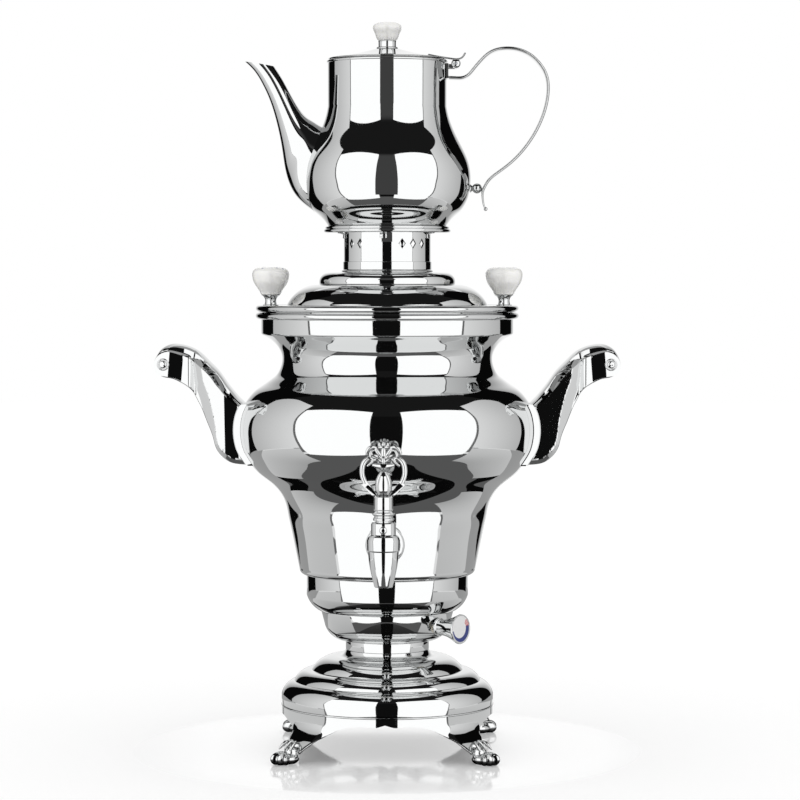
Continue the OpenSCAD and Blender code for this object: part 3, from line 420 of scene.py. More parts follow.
def glazed_porcelain():
    """Fired and glazed porcelain: a warm white body under clear glaze, with small brushed flecks of cobalt
    on top of the knobs, in cells about 5 mm wide."""
    m, t = new_finish("glazed_porcelain")
    at = add(t, "ShaderNodeTexCoord").outputs["Object"]
    cells = add(t, "ShaderNodeTexVoronoi", {"Vector": at, "Scale": 190.0, "Randomness": 1.0})
    ragged = add(t, "ShaderNodeTexNoise", {"Vector": at, "Scale": 700.0, "Detail": 2.0})
    edge = add(t, "ShaderNodeMath", {0: ragged.outputs["Fac"], 1: 0.35}, operation="MULTIPLY")
    near = add(t, "ShaderNodeMath", {0: cells.outputs["Distance"], 1: edge.outputs[0]}, operation="ADD")
    fleck = add(t, "ShaderNodeMapRange", {"Value": near.outputs[0], "From Min": 0.4, "From Max": 0.34})
    up = add(t, "ShaderNodeNewGeometry").outputs["Normal"]
    height = add(t, "ShaderNodeSeparateXYZ", {"Vector": up}).outputs["Z"]
    top = add(t, "ShaderNodeMapRange", {"Value": height, "From Min": 0.72, "From Max": 0.82})
    where = add(t, "ShaderNodeMath", {0: fleck.outputs[0], 1: top.outputs[0]}, operation="MULTIPLY")
    colour = add(t, "ShaderNodeMix", {"Factor": where.outputs[0], "A": linear("#FAF9F6"),
                                      "B": linear("#33507F")}, data_type="RGBA")
    shader = add(t, "ShaderNodeBsdfPrincipled", {
        "Base Color": colour.outputs["Result"], "Roughness": 0.22, "IOR": 1.5, "Coat Weight": 0.7,
        "Coat Roughness": 0.04, "Subsurface Weight": 0.15, "Subsurface Radius": (0.004, 0.004, 0.0035)})
    add(t, "ShaderNodeOutputMaterial", {"Surface": shader.outputs[0]})
    return m


CHROME = polished_chrome()
PORCELAIN = glazed_porcelain()
# Bluish grey with a soft, even sheen, in patches 17 mm wide
ZINC = mottled("zinc_plated_steel_bright", "#A9AEB4", "#C3C6C9", 60.0, (0.25, 0.38), 1.0, 0.02)
# Warm yellow with a dulled shine, in patches 11 mm wide
BRASS = mottled("brass_turned", "#B08C45", "#CFAE62", 90.0, (0.2, 0.34), 1.0, 0.02)
# Pale grey and matt, with a visible grain, in patches 7 mm wide
CAST = mottled("aluminium_die_cast", "#9EA1A4", "#B6B8BA", 140.0, (0.42, 0.6), 1.0, 0.08)
# Dark brown from heat, nearly without shine, in patches 22 mm wide
SHEATH = mottled("heater_sheath_heat_darkened", "#4A423C", "#6E6358", 45.0, (0.4, 0.55), 0.9, 0.04)
# Cream and matt, in patches 8 mm wide
CERAMIC = mottled("steatite_ceramic_unglazed", "#D2CAB8", "#E2DCCC", 120.0, (0.5, 0.65), 0.0, 0.05)
# Dark brown with a faint gloss, in patches 9 mm wide
PHENOLIC = mottled("phenolic_moulded", "#2E1D14", "#442B1E", 110.0, (0.35, 0.5), 0.0, 0.03)
# Nearly black with a dull moulded skin, in patches 6 mm wide
NYLON = mottled("nylon_black_moulded", "#151618", "#1E1F21", 160.0, (0.38, 0.5), 0.0, 0.06)
# Milky white and dull, in patches 12.5 mm wide
SILICONE = mottled("silicone_rubber_white", "#DCDBD6", "#E9E8E4", 80.0, (0.45, 0.6), 0.0, 0.03)

# ---- Base and pedestal ----

# Lower edge of the foot skirt: distance along the sheet from the middle of a leg, height
SKIRT_EDGE = smooth([[6.2, 9], [7.6, 11.6], [10.2, 14.6], [13.2, 17.3], [16.6, 19.7], [20.4, 22],
                     [24.4, 24.2], [28.8, 26.2], [33.7, 27.5], [38, 28.7], [43, 29.4], [49, 29.6],
                     [55.4, 29.1], [58.8, 29.1], [61.4, 29.8], [65.5, 31]], 0.5)
# Flare of a leg: height, distance from the axis
LEG_FLARE = smooth([[8, 102], [10, 99.8], [12.5, 97.5], [15, 95], [18.5, 91], [21.5, 87.4], [24, 85],
                    [27, 83.6], [30, BASE_R], [40, BASE_R]], 0.5)
# Distance from a leg's middle where its flare starts to fade, and where it has gone
FLARE_FADES = (12, 26)


def foot_sheet():
    """One sheet that goes down from a drum into four legs. A place on it has a distance m from the nearest
    leg's middle along the drum and a share of the way from the top edge down to the lower edge. Near a leg's
    middle the drum's point moves outwards by the flare at its height, and further from it not at all."""
    half = math.pi / 4 * BASE_R
    crowd = 2.2
    m = half * np.sinh(crowd * np.linspace(-1, 1, 130, endpoint=False)) / math.sinh(crowd)
    edge = np.interp(abs(m), SKIRT_EDGE[:, 0], SKIRT_EDGE[:, 1])
    z = Z_SKIRT_TOP + (edge - Z_SKIRT_TOP) * np.linspace(0, 1, 30)[:, None]
    out = (np.interp(z, LEG_FLARE[:, 0], LEG_FLARE[:, 1]) - BASE_R) * (1 - ramp(abs(m), *FLARE_FADES))
    leg = np.stack([BASE_R * np.cos(m / BASE_R) + out, BASE_R * np.sin(m / BASE_R) + 0 * z, z], axis=-1)
    face = np.concatenate([spin(leg, corner) for corner in CORNERS.values()], axis=1)
    along = np.roll(face, -1, axis=1) - np.roll(face, 1, axis=1)
    n = np.cross(along, -np.gradient(face, axis=0))
    n /= lengths(n)
    t = 1.4 + 1.4 * ramp(face[..., 2:], 24, 12)
    down = np.cross(n[-1], along[-1] / lengths(along[-1]))
    w = np.linspace(0, np.pi, 7)[:, None, None]
    rim = face[-1] - n[-1] * t[-1] / 2 + t[-1] / 2 * (down * np.sin(w) - n[-1] * np.cos(w))
    return lofted(np.concatenate([face - n * t, rim[1:-1], face[::-1]]), True)


def ankle(corner):
    """Boss under the end of a leg, which the paw's screw goes into."""
    boss = turned_solid([[0, 12], [5.2, 12], [5, 14.6], [3.4, 16.4], [0, 16.8]], 48, 1.2)
    return turned(moved(boss, (99, 0, 0)), corner)


PAW_AT = np.array([106.5, 0, 5.6])
# Lobes of a paw, which all hold its centre: turn in degrees, middle, half lengths
PAW_LOBES = [(-42, (4.8, 0, -1.2), (7.4, 2.9, 5)), (-14, (5.6, 0, -0.8), (8.4, 3, 5.6)),
             (14, (5.6, 0, -0.8), (8.4, 3, 5.6)), (42, (4.8, 0, -1.2), (7.4, 2.9, 5)),
             (0, (-1.5, 0, -1.6), (8.8, 8, 4.8)), (0, (-4.6, 0, 2.4), (5.6, 5.6, 5.6))]


def paw():
    """A paw around its centre. In each direction the surface is at the smooth largest, the 18th root of the
    sum of the 18th powers, of the distances at which a ray leaves the lobes, and no further than the
    floor."""
    az = round_turn(132)
    el = np.linspace(-np.pi / 2, np.pi / 2, 72)[:, None]
    d = np.stack([np.cos(el) * np.cos(az), np.cos(el) * np.sin(az), np.sin(el) + 0 * az], axis=-1)
    power = 18
    total = 0
    for turn, centre, half in PAW_LOBES:
        u = spin(d, -turn) / half
        w = np.array(centre) / half
        a, b, k = (u * u).sum(-1), (u * w).sum(-1), (w * w).sum() - 1
        total = total + ((b + np.sqrt(b * b - a * k)) / a) ** power
    r = total ** (1 / power)
    floor_at = PAW_AT[2] / np.maximum(-np.sin(el), 1e-6)
    r = (r ** -power + floor_at ** -power) ** (-1 / power)
    return moved(lofted(d * r[..., None]), PAW_AT)


def tuft(y, lift):
    """A lock of fur that curls down over the paw from the ankle."""
    path = smooth([[-8, 10.2], [-4.6, 10.6 + lift], [-1, 8.8 + lift], [2.2, 5.8 + lift]], 0.5)
    spread = np.linspace(0.75, 1.35, len(path))
    radius = 0.35 + 1.35 * np.sin(np.linspace(0.55, np.pi - 0.12, len(path)))
    return moved(rod(upright(path, y * spread), radius, (0, 1, 0), 14), PAW_AT)


SKIRT = [foot_sheet()] + [ankle(corner) for corner in CORNERS.values()]
piece("foot_skirt_sheet", SKIRT, "foot_skirt", CHROME)
PAW = [paw()] + [tuft(y, lift) for y, lift in ((-4.4, 0), (0, 0.6), (4.4, 0))]
for name, corner in CORNERS.items():
    piece("lion_paw_" + name, [turned(p, corner) for p in PAW], "paw_" + name, CHROME, 60)


def base_dome_path():
    """Vertical band, three convex steps that shrink towards the neck, and a fillet into it."""
    p1, p2, p3 = [[NECK_R + share * (BASE_R - NECK_R), Z_DOME + rise]
                  for share, rise in ((0.8, 18.3), (0.53, 26.8), (0.09, 37.4))]
    return joined([BASE_R, Z_DOME], arc([BASE_R, Z_DOME + 8], p1, 0.26), arc(p1, p2, 0.3), arc(p2, p3, 0.3),
                  arc(p3, [NECK_R, Z_NECK], -0.3))


PLATE_EDGE_R = highest("base_plate")[0]
PLATE_HOLE_R = 3.4
BOWL_HOLE_R = 3.2
piece("base_plate_ring", revolved(eased([[PLATE_HOLE_R, Z_SKIRT_TOP], [PLATE_EDGE_R, Z_SKIRT_TOP],
                                         [PLATE_EDGE_R, Z_DOME], [PLATE_HOLE_R, Z_DOME]], 0.5, closed=True)),
      "base_plate", CHROME)
piece("base_dome_steps", spun(base_dome_path(), BASE_SHEET), "base_dome", CHROME)
piece("neck_tube", spun([[NECK_R, Z_NECK], [NECK_R, Z_BOWL]], BASE_SHEET), "neck", CHROME)
piece("control_bowl_sheet", spun(joined([BOWL_HOLE_R, Z_BOWL], [NECK_R + 0.8, Z_BOWL],
                                        arc([NECK_R + 1.2, Z_BOWL], [BOWL_R - 3.1, Z_BOWL + 11], 0.3),
                                        [BOWL_R, Z_HOUSING - 1], [BOWL_R, Z_HOUSING]), BASE_SHEET),
      "control_bowl", CHROME)
piece("heater_housing", spun(joined([BOWL_R - 8, Z_HOUSING],
                                    arc([BOWL_R + 2, Z_HOUSING], [HOUSING_R, Z_HOUSING + 12], 0.2),
                                    [HOUSING_R, Z_TANK]), BASE_SHEET), "housing_ring", CHROME)

# ---- Thermostat ----

# Direction of the thermostat's shaft in degrees from +X, and its start's distance from the axis
KNOB_AZ = -39
KNOB_START = 30
KNOB_ROOT_R = 6.0
KNOB_FACE_R = 11.6
PRINT_R = KNOB_FACE_R - 1.1
DIAL_R = KNOB_FACE_R - 1.2
Z_KNOB = Z_BOWL + 13.7
KNOB_FOOT = BOWL_R - KNOB_START
KNOB_H = 22.5


def at_knob(part):
    """Stands a part that was made along Z on the thermostat's shaft."""
    return turned(moved(turned(part, 90, 1), (KNOB_START, 0, Z_KNOB)), KNOB_AZ)


def knob_shell():
    """Flared knob with a rim round its face, turned about the shaft."""
    flare = smooth([[KNOB_ROOT_R, 2.2], [KNOB_ROOT_R + 0.4, 7], [KNOB_ROOT_R + 1.9, 13],
                    [KNOB_FACE_R - 1, 19.5], [KNOB_FACE_R, KNOB_H - 0.8]])
    return turned_solid(joined([0, 0.3], [KNOB_ROOT_R + 1, 0.3], [KNOB_ROOT_R + 1, 1.5], flare,
                               [KNOB_FACE_R - 0.3, KNOB_H], [KNOB_FACE_R - 1.1, KNOB_H],
                               [DIAL_R, KNOB_H - 0.5], [0, KNOB_H - 0.5]), 120, 0.25)


# Edges of what is printed on the dial, in shares of its radius: how the place on the face is measured,
# against what, and the two values between which the print comes in. The slant's measure is the angle of a
# sine.
PRINT_EDGES = {
    "disc": ("DISTANCE", (0.0, 0.0), 0.96, 0.93),
    "hollow": ("DISTANCE", (-0.14, 0.07), 0.7, 0.73),
    "below": ("DOT_PRODUCT", (-0.2, 1.0), 0.12, 0.08),
    "slant": ("DOT_PRODUCT", (38.0, 34.2), -0.35, -0.1),
    "end": ("DISTANCE", (0.72, 0.46), 0.29, 0.26),
}


def printed_dial():
    """Lacquered face with a printed scale: a blue crescent that grows round the dial, from the difference of
    two circles, and three slanting red strokes at its end."""
    m, t = new_finish("lacquered_dial_printed")
    at = add(t, "ShaderNodeTexCoord").outputs["Object"]
    az = math.radians(KNOB_AZ)
    out, right = np.array([math.cos(az), math.sin(az), 0]), np.array([-math.sin(az), math.cos(az), 0])
    centre = (out * (KNOB_START + KNOB_FOOT + KNOB_H) + [0, 0, Z_KNOB]) * MM
    local = add(t, "ShaderNodeVectorMath", {0: at, 1: tuple(centre)}, operation="SUBTRACT").outputs[0]
    x, y = [add(t, "ShaderNodeVectorMath", {0: local, 1: tuple(axis / (PRINT_R * MM))},
                operation="DOT_PRODUCT").outputs["Value"] for axis in (right, np.array([0, 0, 1.0]))]
    place = add(t, "ShaderNodeCombineXYZ", {"X": x, "Y": y}).outputs[0]
    edge = {}
    for name, (measure, against, start, end) in PRINT_EDGES.items():
        value = add(t, "ShaderNodeVectorMath", {0: place, 1: (*against, 0.0)},
                    operation=measure).outputs["Value"]
        if name == "slant":
            value = add(t, "ShaderNodeMath", {0: value}, operation="SINE").outputs[0]
        edge[name] = add(t, "ShaderNodeMapRange", {"Value": value, "From Min": start,
                                                   "From Max": end}).outputs[0]
    ring = add(t, "ShaderNodeMath", {0: edge["disc"], 1: edge["hollow"]}, operation="MULTIPLY").outputs[0]
    crescent = add(t, "ShaderNodeMath", {0: ring, 1: edge["below"]}, operation="MULTIPLY").outputs[0]
    strokes = add(t, "ShaderNodeMath", {0: edge["slant"], 1: edge["end"]}, operation="MULTIPLY").outputs[0]
    blue = add(t, "ShaderNodeMix", {"Factor": crescent, "A": linear("#E2E2E2"), "B": linear("#1A2E7A")},
               data_type="RGBA")
    both = add(t, "ShaderNodeMix", {"Factor": strokes, "A": blue.outputs["Result"], "B": linear("#C4211C")},
               data_type="RGBA")
    shader = add(t, "ShaderNodeBsdfPrincipled", {"Base Color": both.outputs["Result"], "Roughness": 0.45,
                                                 "Coat Weight": 0.1, "Coat Roughness": 0.1})
    add(t, "ShaderNodeOutputMaterial", {"Surface": shader.outputs[0]})
    return m


piece("thermostat_knob", at_knob(moved(knob_shell(), (0, 0, KNOB_FOOT))), "control_knob", CHROME)
DIAL_FOOT = KNOB_FOOT + KNOB_H - 0.7
DIAL_TOP = DIAL_FOOT + 0.6
piece("thermostat_dial", at_knob(turned_solid([[0, DIAL_FOOT], [DIAL_R, DIAL_FOOT], [DIAL_R, DIAL_TOP],
                                               [0, DIAL_TOP]], 96, 0.1)), "dial_disc", printed_dial())

# ---- Tank ----

VASE_FOOT = [VASE_FOOT_R, Z_TANK + 5]
VASE_TOP = [VASE_TOP_R, Z_VASE_TOP]
BELLY = [BELLY_R, Z_BELLY]
COVE = [COVE_R, Z_COVE]
BAND_FOOT = [BAND_R - 0.8, Z_BAND - 0.4]


def tank_path():
    """Flat floor, rounded foot, tapered vase, wide belly, cove and straight band."""
    return joined(
        [0, Z_TANK], [VASE_FOOT_R - 5.4, Z_TANK], arc([VASE_FOOT_R - 5, Z_TANK], VASE_FOOT, 0.4),
        smooth(joined(
            shape(VASE_FOOT, VASE_TOP, [[0.02, 0.02], [0.35, 0.35], [0.7, 0.7], [0.88, 0.87]]),
            shape(VASE_TOP, BELLY, [[0, 0], [0.093, 0.157], [0.178, 0.234], [0.302, 0.313], [0.615, 0.468],
                                    [0.822, 0.638], [0.918, 0.741], [0.979, 0.872]]),
            shape(BELLY, COVE, [[0, 0], [0.012, 0.129], [0.058, 0.259], [0.14, 0.373], [0.265, 0.488],
                                [0.394, 0.574], [0.589, 0.659], [0.781, 0.747], [0.863, 0.79],
                                [0.945, 0.874]]),
            shape(COVE, BAND_FOOT, [[0, 0], [0.024, 0.238], [0.09, 0.37], [0.26, 0.58], [0.6, 0.82],
                                    [1, 1]]))),
        [BAND_R, Z_BAND + 0.6], [BAND_R, Z_RIM + ROLL_R])


TANK_PATH = tank_path()
piece("tank_shell", [spun(TANK_PATH, TANK_SHEET), torus(ROLL_MID, ROLL_R, Z_RIM + ROLL_R)],
      ["tank_vase", "tank_belly_lower", "tank_belly_upper", "tank_rim"], CHROME)


def tank_r(z):
    """Outer radius of the belly at a height."""
    side = TANK_PATH[TANK_PATH[:, 0] > VASE_FOOT_R - 1]
    return np.interp(z, side[:, 1], side[:, 0])


# ---- Tap ----

TAP_Y = centre_of("key_plug")[1]
Z_TAP = Z_TANK + 30
Z_BELL_FOOT = lowest("tap_body")[2]
Z_BARREL_TOP = highest("tap_body")[2]
KEY_FOOT = lowest("key_handle")[2]
BELL_R = 12.3
BARREL_R = 9.25
PLUG_HOLE_R = 6.3
OUTLET_R = 4.6
SHANK_R = 6.5
SHANK_BORE_R = 4.5
ACROSS_KEY = (0, 1, 0)


def on_tap(part):
    """Stands a part on the tap's own axis."""
    return moved(part, (0, TAP_Y, 0))


def facing_front(part, y, z):
    """Turns a part that was made along Z so that it points to the front, and starts it at y and height z."""
    return moved(turned(part, 90, 0), (0, y, z))


def bell():
    """Bell of the tap: open outlet, tapered skirt, collar with a small step, coned shoulder and barrel."""
    z = Z_BELL_FOOT
    return turned_solid(joined(
        [0, z + 12], [OUTLET_R, z + 12], [OUTLET_R + 0.5, z], [6.6, z],
        smooth([[6.9, z + 0.8], [8.7, z + 8], [10.6, z + 17], [BELL_R - 0.75, z + 26.9]]),
        [BELL_R, z + 27.5], [BELL_R + 0.15, z + 35.4],
        arc([BELL_R - 0.3, z + 36.5], [BARREL_R + 0.9, z + 38.9], 0.25), [BARREL_R, z + 39.4],
        [BARREL_R, Z_BARREL_TOP - 1], [BARREL_R - 0.9, Z_BARREL_TOP], [PLUG_HOLE_R, Z_BARREL_TOP],
        [PLUG_HOLE_R, Z_BARREL_TOP - 4], [0, Z_BARREL_TOP - 4]), 120)


def tap_boss():
    """Round boss that leads from the barrel back to the shank."""
    back = 16.0
    boss = turned_solid(joined([0, 0], [8.8, 0], [8.8, back - 1.4], [8.2, back], [6.6, back], [6.6, back - 3],
                               [0, back - 3]), 72)
    return moved(turned(boss, -90, 0), (0, 0, Z_TAP))


def stop_rivet():
    """Rivet in the rib that stops the key, made along Z and with its domed head outwards."""
    out = -lowest("tap_stop_pin")[1]
    return turned_solid(joined([0, out - 4.4], [1.6, out - 4.4], [1.6, out - 1.5], [2.9, out - 1.3],
                               arc([2.9, out - 1.1], [0.6, out], 0.3), [0, out]), 48, 0.2)


RIB = [[-1.8, Z_TAP + 11.6], [1.8, Z_TAP + 11.6], [1.6, Z_TAP + 16.4], [-1.6, Z_TAP + 16.4]]
rib = slab(RIB, -BARREL_R - 1.2, -BARREL_R + 2, 0.3)
piece("tap_bell_body", [on_tap(p) for p in (bell(), tap_boss(), rib)], "tap_body", CHROME)
escutcheon = turned_solid(joined([0, 0], [15, 0], arc([15, 1.2], [11.5, 4.2], 0.35),
                                 arc([10.8, 4.2], [8.9, 4.2], -0.3), [0, 4.2]), 96)
piece("tap_escutcheon_dome", facing_front(escutcheon, highest("tap_escutcheon")[1], Z_TAP),
      "tap_escutcheon", CHROME)
SHANK_BACK, SHANK_FRONT = -highest("tap_shank")[1], -lowest("tap_shank")[1]
shank = revolved(eased([[SHANK_R, SHANK_BACK], [SHANK_R, SHANK_FRONT], [SHANK_BORE_R, SHANK_FRONT],
                        [SHANK_BORE_R, SHANK_BACK]], closed=True), turns=64)
piece("tap_shank_tube", facing_front(shank, 0, Z_TAP), "tap_shank", CHROME)
piece("tap_stop_rivet", facing_front(stop_rivet(), 0, Z_TAP + 16.5), "tap_stop_pin", CHROME)

# Key: collars and stem below, then two bars, a ring of rod with scrolls and a palmette

STEM_R = 7.0
Z_STEM_TOP = KEY_FOOT + 18
Z_RING = Z_STEM_TOP + 20


def in_key(points):
    """Points (across, up from the ring's middle) set in the key's plane."""
    return upright(np.asarray(points, float) + [0, Z_RING])


def key_stem():
    """Two collars, a straight stem and its shallow cup."""
    f = KEY_FOOT
    return turned_solid(joined(
        [0, f], [7.7, f], [7.9, f + 1.4], arc([7.2, f + 2.2], [7.2, f + 3.4], -0.5),
        arc([7.9, f + 4.1], [7.9, f + 6.1], 0.6), arc([7.0, f + 6.7], [7.1, f + 7.9], -0.5),
        [STEM_R + 0.35, f + 8.4], [STEM_R + 0.1, f + 9], [STEM_R, Z_STEM_TOP - 1], [STEM_R - 0.6, Z_STEM_TOP],
        [4.6, Z_STEM_TOP], [4, Z_STEM_TOP - 1.2], [0, Z_STEM_TOP - 1.2]), 96)


def bud():
    """Bud with four petals. Between them its radius is drawn in by a depth times the square of what the
    absolute cosine of twice the turn lacks to 1, and the depth grows with the height."""
    profile = smooth([[2.6, 0], [5, 3], [6.4, 7.5], [6, 12.5], [4.2, 16.5], [2.2, 19.2]], 0.5)
    profile = joined([0, 0], profile, [0, 19.6])
    a = round_turn(96)
    r, z = profile[:, :1], profile[:, 1:]
    depth = 0.03 + 0.14 * ramp(z, 4, 19)
    r = r * (1 - depth * (1 - abs(np.cos(2 * a))) ** 2)
    return lofted(around(a, r, Z_STEM_TOP - 1 + z))


def leaf(points, width):
    """Thick curled leaf: a rod that is narrow at both ends and lies in the key's plane."""
    path = smooth(points, 0.35)
    radius = width * (0.22 + 0.78 * np.sin(np.linspace(0.35, np.pi - 0.25, len(path))))
    return rod(in_key(path), radius, ACROSS_KEY, 14)


def key_side():
    """Right half of the key: its bar, the side of its ring with a curled end, a scroll and the links
    between."""
    bar = [[3.4, Z_STEM_TOP - 0.8], [7.0, Z_STEM_TOP - 0.9], [16.2, Z_RING - 11.4], [12.6, Z_RING - 8.3]]
    ring = smooth([[13.6, -9.8], [15.3, -5.7], [15.8, -0.2], [14.8, 4.1], [12.6, 7], [9.9, 8.1], [8.3, 6.6],
                   [9.6, 4.2], [11.6, 2.6]], 0.5)
    radius = 1.9 - 1.1 * ramp(np.arange(len(ring)), 0.45 * len(ring), len(ring))
    return [
        slab(bar, -1.7, 1.7, 0.4),
        rod(in_key(ring), radius, ACROSS_KEY, 24),
        leaf([[5.6, 16.1], [8.6, 16.4], [11.4, 14.4], [12.9, 11]], 1.55),
        leaf([[6.4, 14.4], [9.2, 13], [9.9, 10.6], [9.7, 8.4]], 1.05),
        leaf([[8.4, 6.6], [4.6, 7], [0.6, 5.2]], 1.0),
        leaf([[0.8, 8], [3.4, 9.2], [6.4, 10.4]], 1.2),
        leaf([[1, 8.6], [3.2, 11.4], [5.2, 14], [5.9, 16.4]], 1.5),
        leaf([[1.1, 16.5], [3.2, 17.8], [3, 19.4]], 0.9),
    ]


def palmette():
    """What stands on the key's middle: a tall petal, a small crown on a bar, a stem, and a lens-shaped
    boss."""
    return [leaf([[0, 8], [0, 12], [0, 16.4]], 2.1), leaf([[-3.4, 16.3], [3.4, 16.3]], 1.2),
            leaf([[0, 16.6], [0, 20]], 1.3), leaf([[0, 8.6], [0, 3.4]], 1.5),
            leaf([[-7.3, 3.1], [0, 2.2], [7.3, 3.1]], 2.5)]


KEY_RIGHT = key_side()
KEY = [key_stem(), bud()] + KEY_RIGHT + [mirrored(p) for p in KEY_RIGHT] + palmette()
piece("tap_key", [on_tap(p) for p in KEY], "key_handle", CHROME, 50)

# ---- Side handles ----

GRIP_X, Z_GRIP = centre_of("grip_right")[[0, 2]]
GRIP_R = 6.5
CHEEK_Y = 22.0
HANDLE_WALL = 2.4
# How far a cheek stands back at its bevel near the grip, and how much more nearer the tank
BEVEL = 3.2
# Lowest and highest place of a handle's root pad, from the grip
PAD_FOOT, PAD_TOP = -78.6, -31
PAD_HALF = 26
# Stations of a handle, from the underside of its tip to its root, each with three points seen from the front
# as (distance towards the tank, height) from the grip screw: on the cheek's top edge, on the crown, on the
# lower edge
HANDLE_STATIONS = [
    [-1, -9.2, -1, -9.6, -1, -9.2], [-4.6, -7.2, -5, -7.8, -0.5, -9.4], [-6.9, -3.2, -7.7, -3.4, 0, -9.6],
    [-7.1, 1, -8.1, 1.2, 0.7, -9.8], [-5.2, 5.2, -6.4, 6.4, 1.4, -10], [-2, 8.2, -3.2, 11.2, 2.6, -10.2],
    [1.5, 9.6, 1, 14.2, 4.5, -10.5], [5, 9.8, 5.5, 15.7, 7, -11], [10.9, 8.3, 12, 15.6, 11, -12.6],
    [19.6, 5, 21, 13.2, 17, -16], [25.4, 1, 28, 9.2, 22, -20], [30.3, -3, 34.5, 3, 25.5, -26],
    [37.1, -9.9, 42, -4.6, 30, -35], [41, -15.3, 47, -11.4, 34, -45], [45, -20.2, 51, -17, 38.5, -56],
    [48.8, -24.8, 55.3, -22.3, 41.5, -66], [52.5, -28.2, 58.5, -26, 46.5, -72.4],
    [56, -31, 62, -29.4, 53, -76.6], [60, -33.8, 65.5, -33, 62, -78], [68, -38, 72, -37, 72, PAD_FOOT]]
# Crease between a handle's wide cheek and the narrower part towards the grip, in the same measure
HANDLE_CREASE = smooth([[26.5, 8], [30.3, -4.7], [31, -10.5], [34.2, -20.2], [38.1, -33.8], [41, -49.3],
                        [43.2, -62], [46.8, -67.6], [54.6, -72.8], [62, -74.5], [80, -75]], 0.8)


def cheek_drop(p):
    """How far a handle's cheek stands back at a place. Past the crease it is bevelled at 40 degrees, down to
    BEVEL near the grip and twice that nearer the tank. Both flats are crowned: each sinks along two
    stretches, towards the tank."""
    d = np.linalg.norm(p[..., None, :] - HANDLE_CREASE, axis=-1)
    i = np.clip(d.argmin(-1), 1, len(HANDLE_CREASE) - 2)
    way = HANDLE_CREASE[i + 1] - HANDLE_CREASE[i - 1]
    off = p - HANDLE_CREASE[i]
    past = np.sign(way[..., 1] * off[..., 0] - way[..., 0] * off[..., 1]) * d.min(-1)
    u, v = p[..., 0], p[..., 1]
    most = BEVEL + BEVEL * ramp(u, 19.5, 25.5)
    bevel = np.minimum(0.84 * np.maximum(past, 0), most)
    near_grip = 1.5 * (np.clip((u - 4.5 - 0.08 * v) / 10.5, 0, 1) - 1) * (past > 0) * (u < 15)
    near_tank = 1.4 * np.clip((u - 47.5 + 0.02 * v) / 9.5, 0, 1) * (past <= 0)
    return bevel + near_grip + near_tank


def handle_shell():
    """A channel through the stations: up one cheek, over the crown, which is an arc of a circle across the
    handle, down the other cheek, and back inside. The lower edge is rounded. Points that would lie in the
    belly are moved out onto it."""
    s = smooth(HANDLE_STATIONS, 0.62)
    cheek_top, crown, low = s[:, None, 0:2], s[:, None, 2:4], s[:, None, 4:6]
    up = np.concatenate([[0, 0.008, 0.016, 0.026, 0.038], np.linspace(0.055, 1, 42)])[None, :, None]
    cheek = low + (cheek_top - low) * up
    from_edge = np.linalg.norm(cheek - low, axis=-1)
    y = CHEEK_Y - cheek_drop(cheek) - 0.8 * (1 - np.clip(from_edge / 1.1, 0, 1)) ** 2
    top_y = y[:, -1:]
    a = np.linspace(-1, 1, 41)[None, 1:-1]
    arch = cheek_top + (crown - cheek_top) * (1 - a[..., None] ** 2)
    outer = [np.dstack([cheek, -y]), np.dstack([arch, top_y * a]), np.dstack([cheek, y])[:, ::-1]]
    drawn = crown + (low - crown) / lengths(low - crown) * HANDLE_WALL
    inner_cheek = low + (drawn - low) * np.linspace(0, 1, 8)[None, :, None]
    wall_y = (y[:, :1] - HANDLE_WALL) * np.ones(8)
    inner_arch = np.broadcast_to(drawn, (len(s), 10, 2))
    inner_y = wall_y[:, :1] * np.linspace(1, -1, 12)[None, 1:-1]
    inner = [np.dstack([inner_cheek, wall_y]), np.dstack([inner_arch, inner_y]),
             np.dstack([inner_cheek, -wall_y])[:, ::-1]]
    loop = np.concatenate(outer + inner, axis=1)
    x, z = GRIP_X - loop[..., 0], Z_GRIP + loop[..., 1]
    on_belly = np.sqrt(np.maximum((tank_r(z) + 0.4) ** 2 - loop[..., 2] ** 2, 0))
    return flipped(lofted(np.stack([np.maximum(x, on_belly), loop[..., 2], z], axis=-1)))


def root_pad():
    """Plate 5 mm thick that hugs the belly under a handle: its rows go round its edge from the back to the
    face."""
    z = np.linspace(Z_GRIP + PAD_FOOT, Z_GRIP + PAD_TOP, 60)[:, None]
    y = np.linspace(-PAD_HALF, PAD_HALF, 48)[None, :]
    layers = []
    for out, draw in ((0.1, 0.0), (4.2, 0.0), (4.9, 0.35), (5.3, 1.2)):
        zz = z + (z.mean() - z) * draw * 2 / np.ptp(z)
        yy = y * (1 - draw / PAD_HALF)
        r = tank_r(zz) + out
        layers.append(np.stack([np.sqrt(r * r - yy * yy), yy + 0 * zz, zz + 0 * yy], axis=-1))
    edge = lofted([np.concatenate([g[0, :-1], g[:-1, -1], g[-1, :0:-1], g[:0:-1, 0]]) for g in layers])
    return [flipped(edge), flipped(lofted(layers[-1], cols_wrap=False)), lofted(layers[0], cols_wrap=False)]


def at_grip(part, y, side):
    """Stands a part that was made along Z on the right-hand grip's axis, pointing to the front or the
    back."""
    return moved(turned(part, 90 * side, 0), (GRIP_X, -y * side, Z_GRIP))


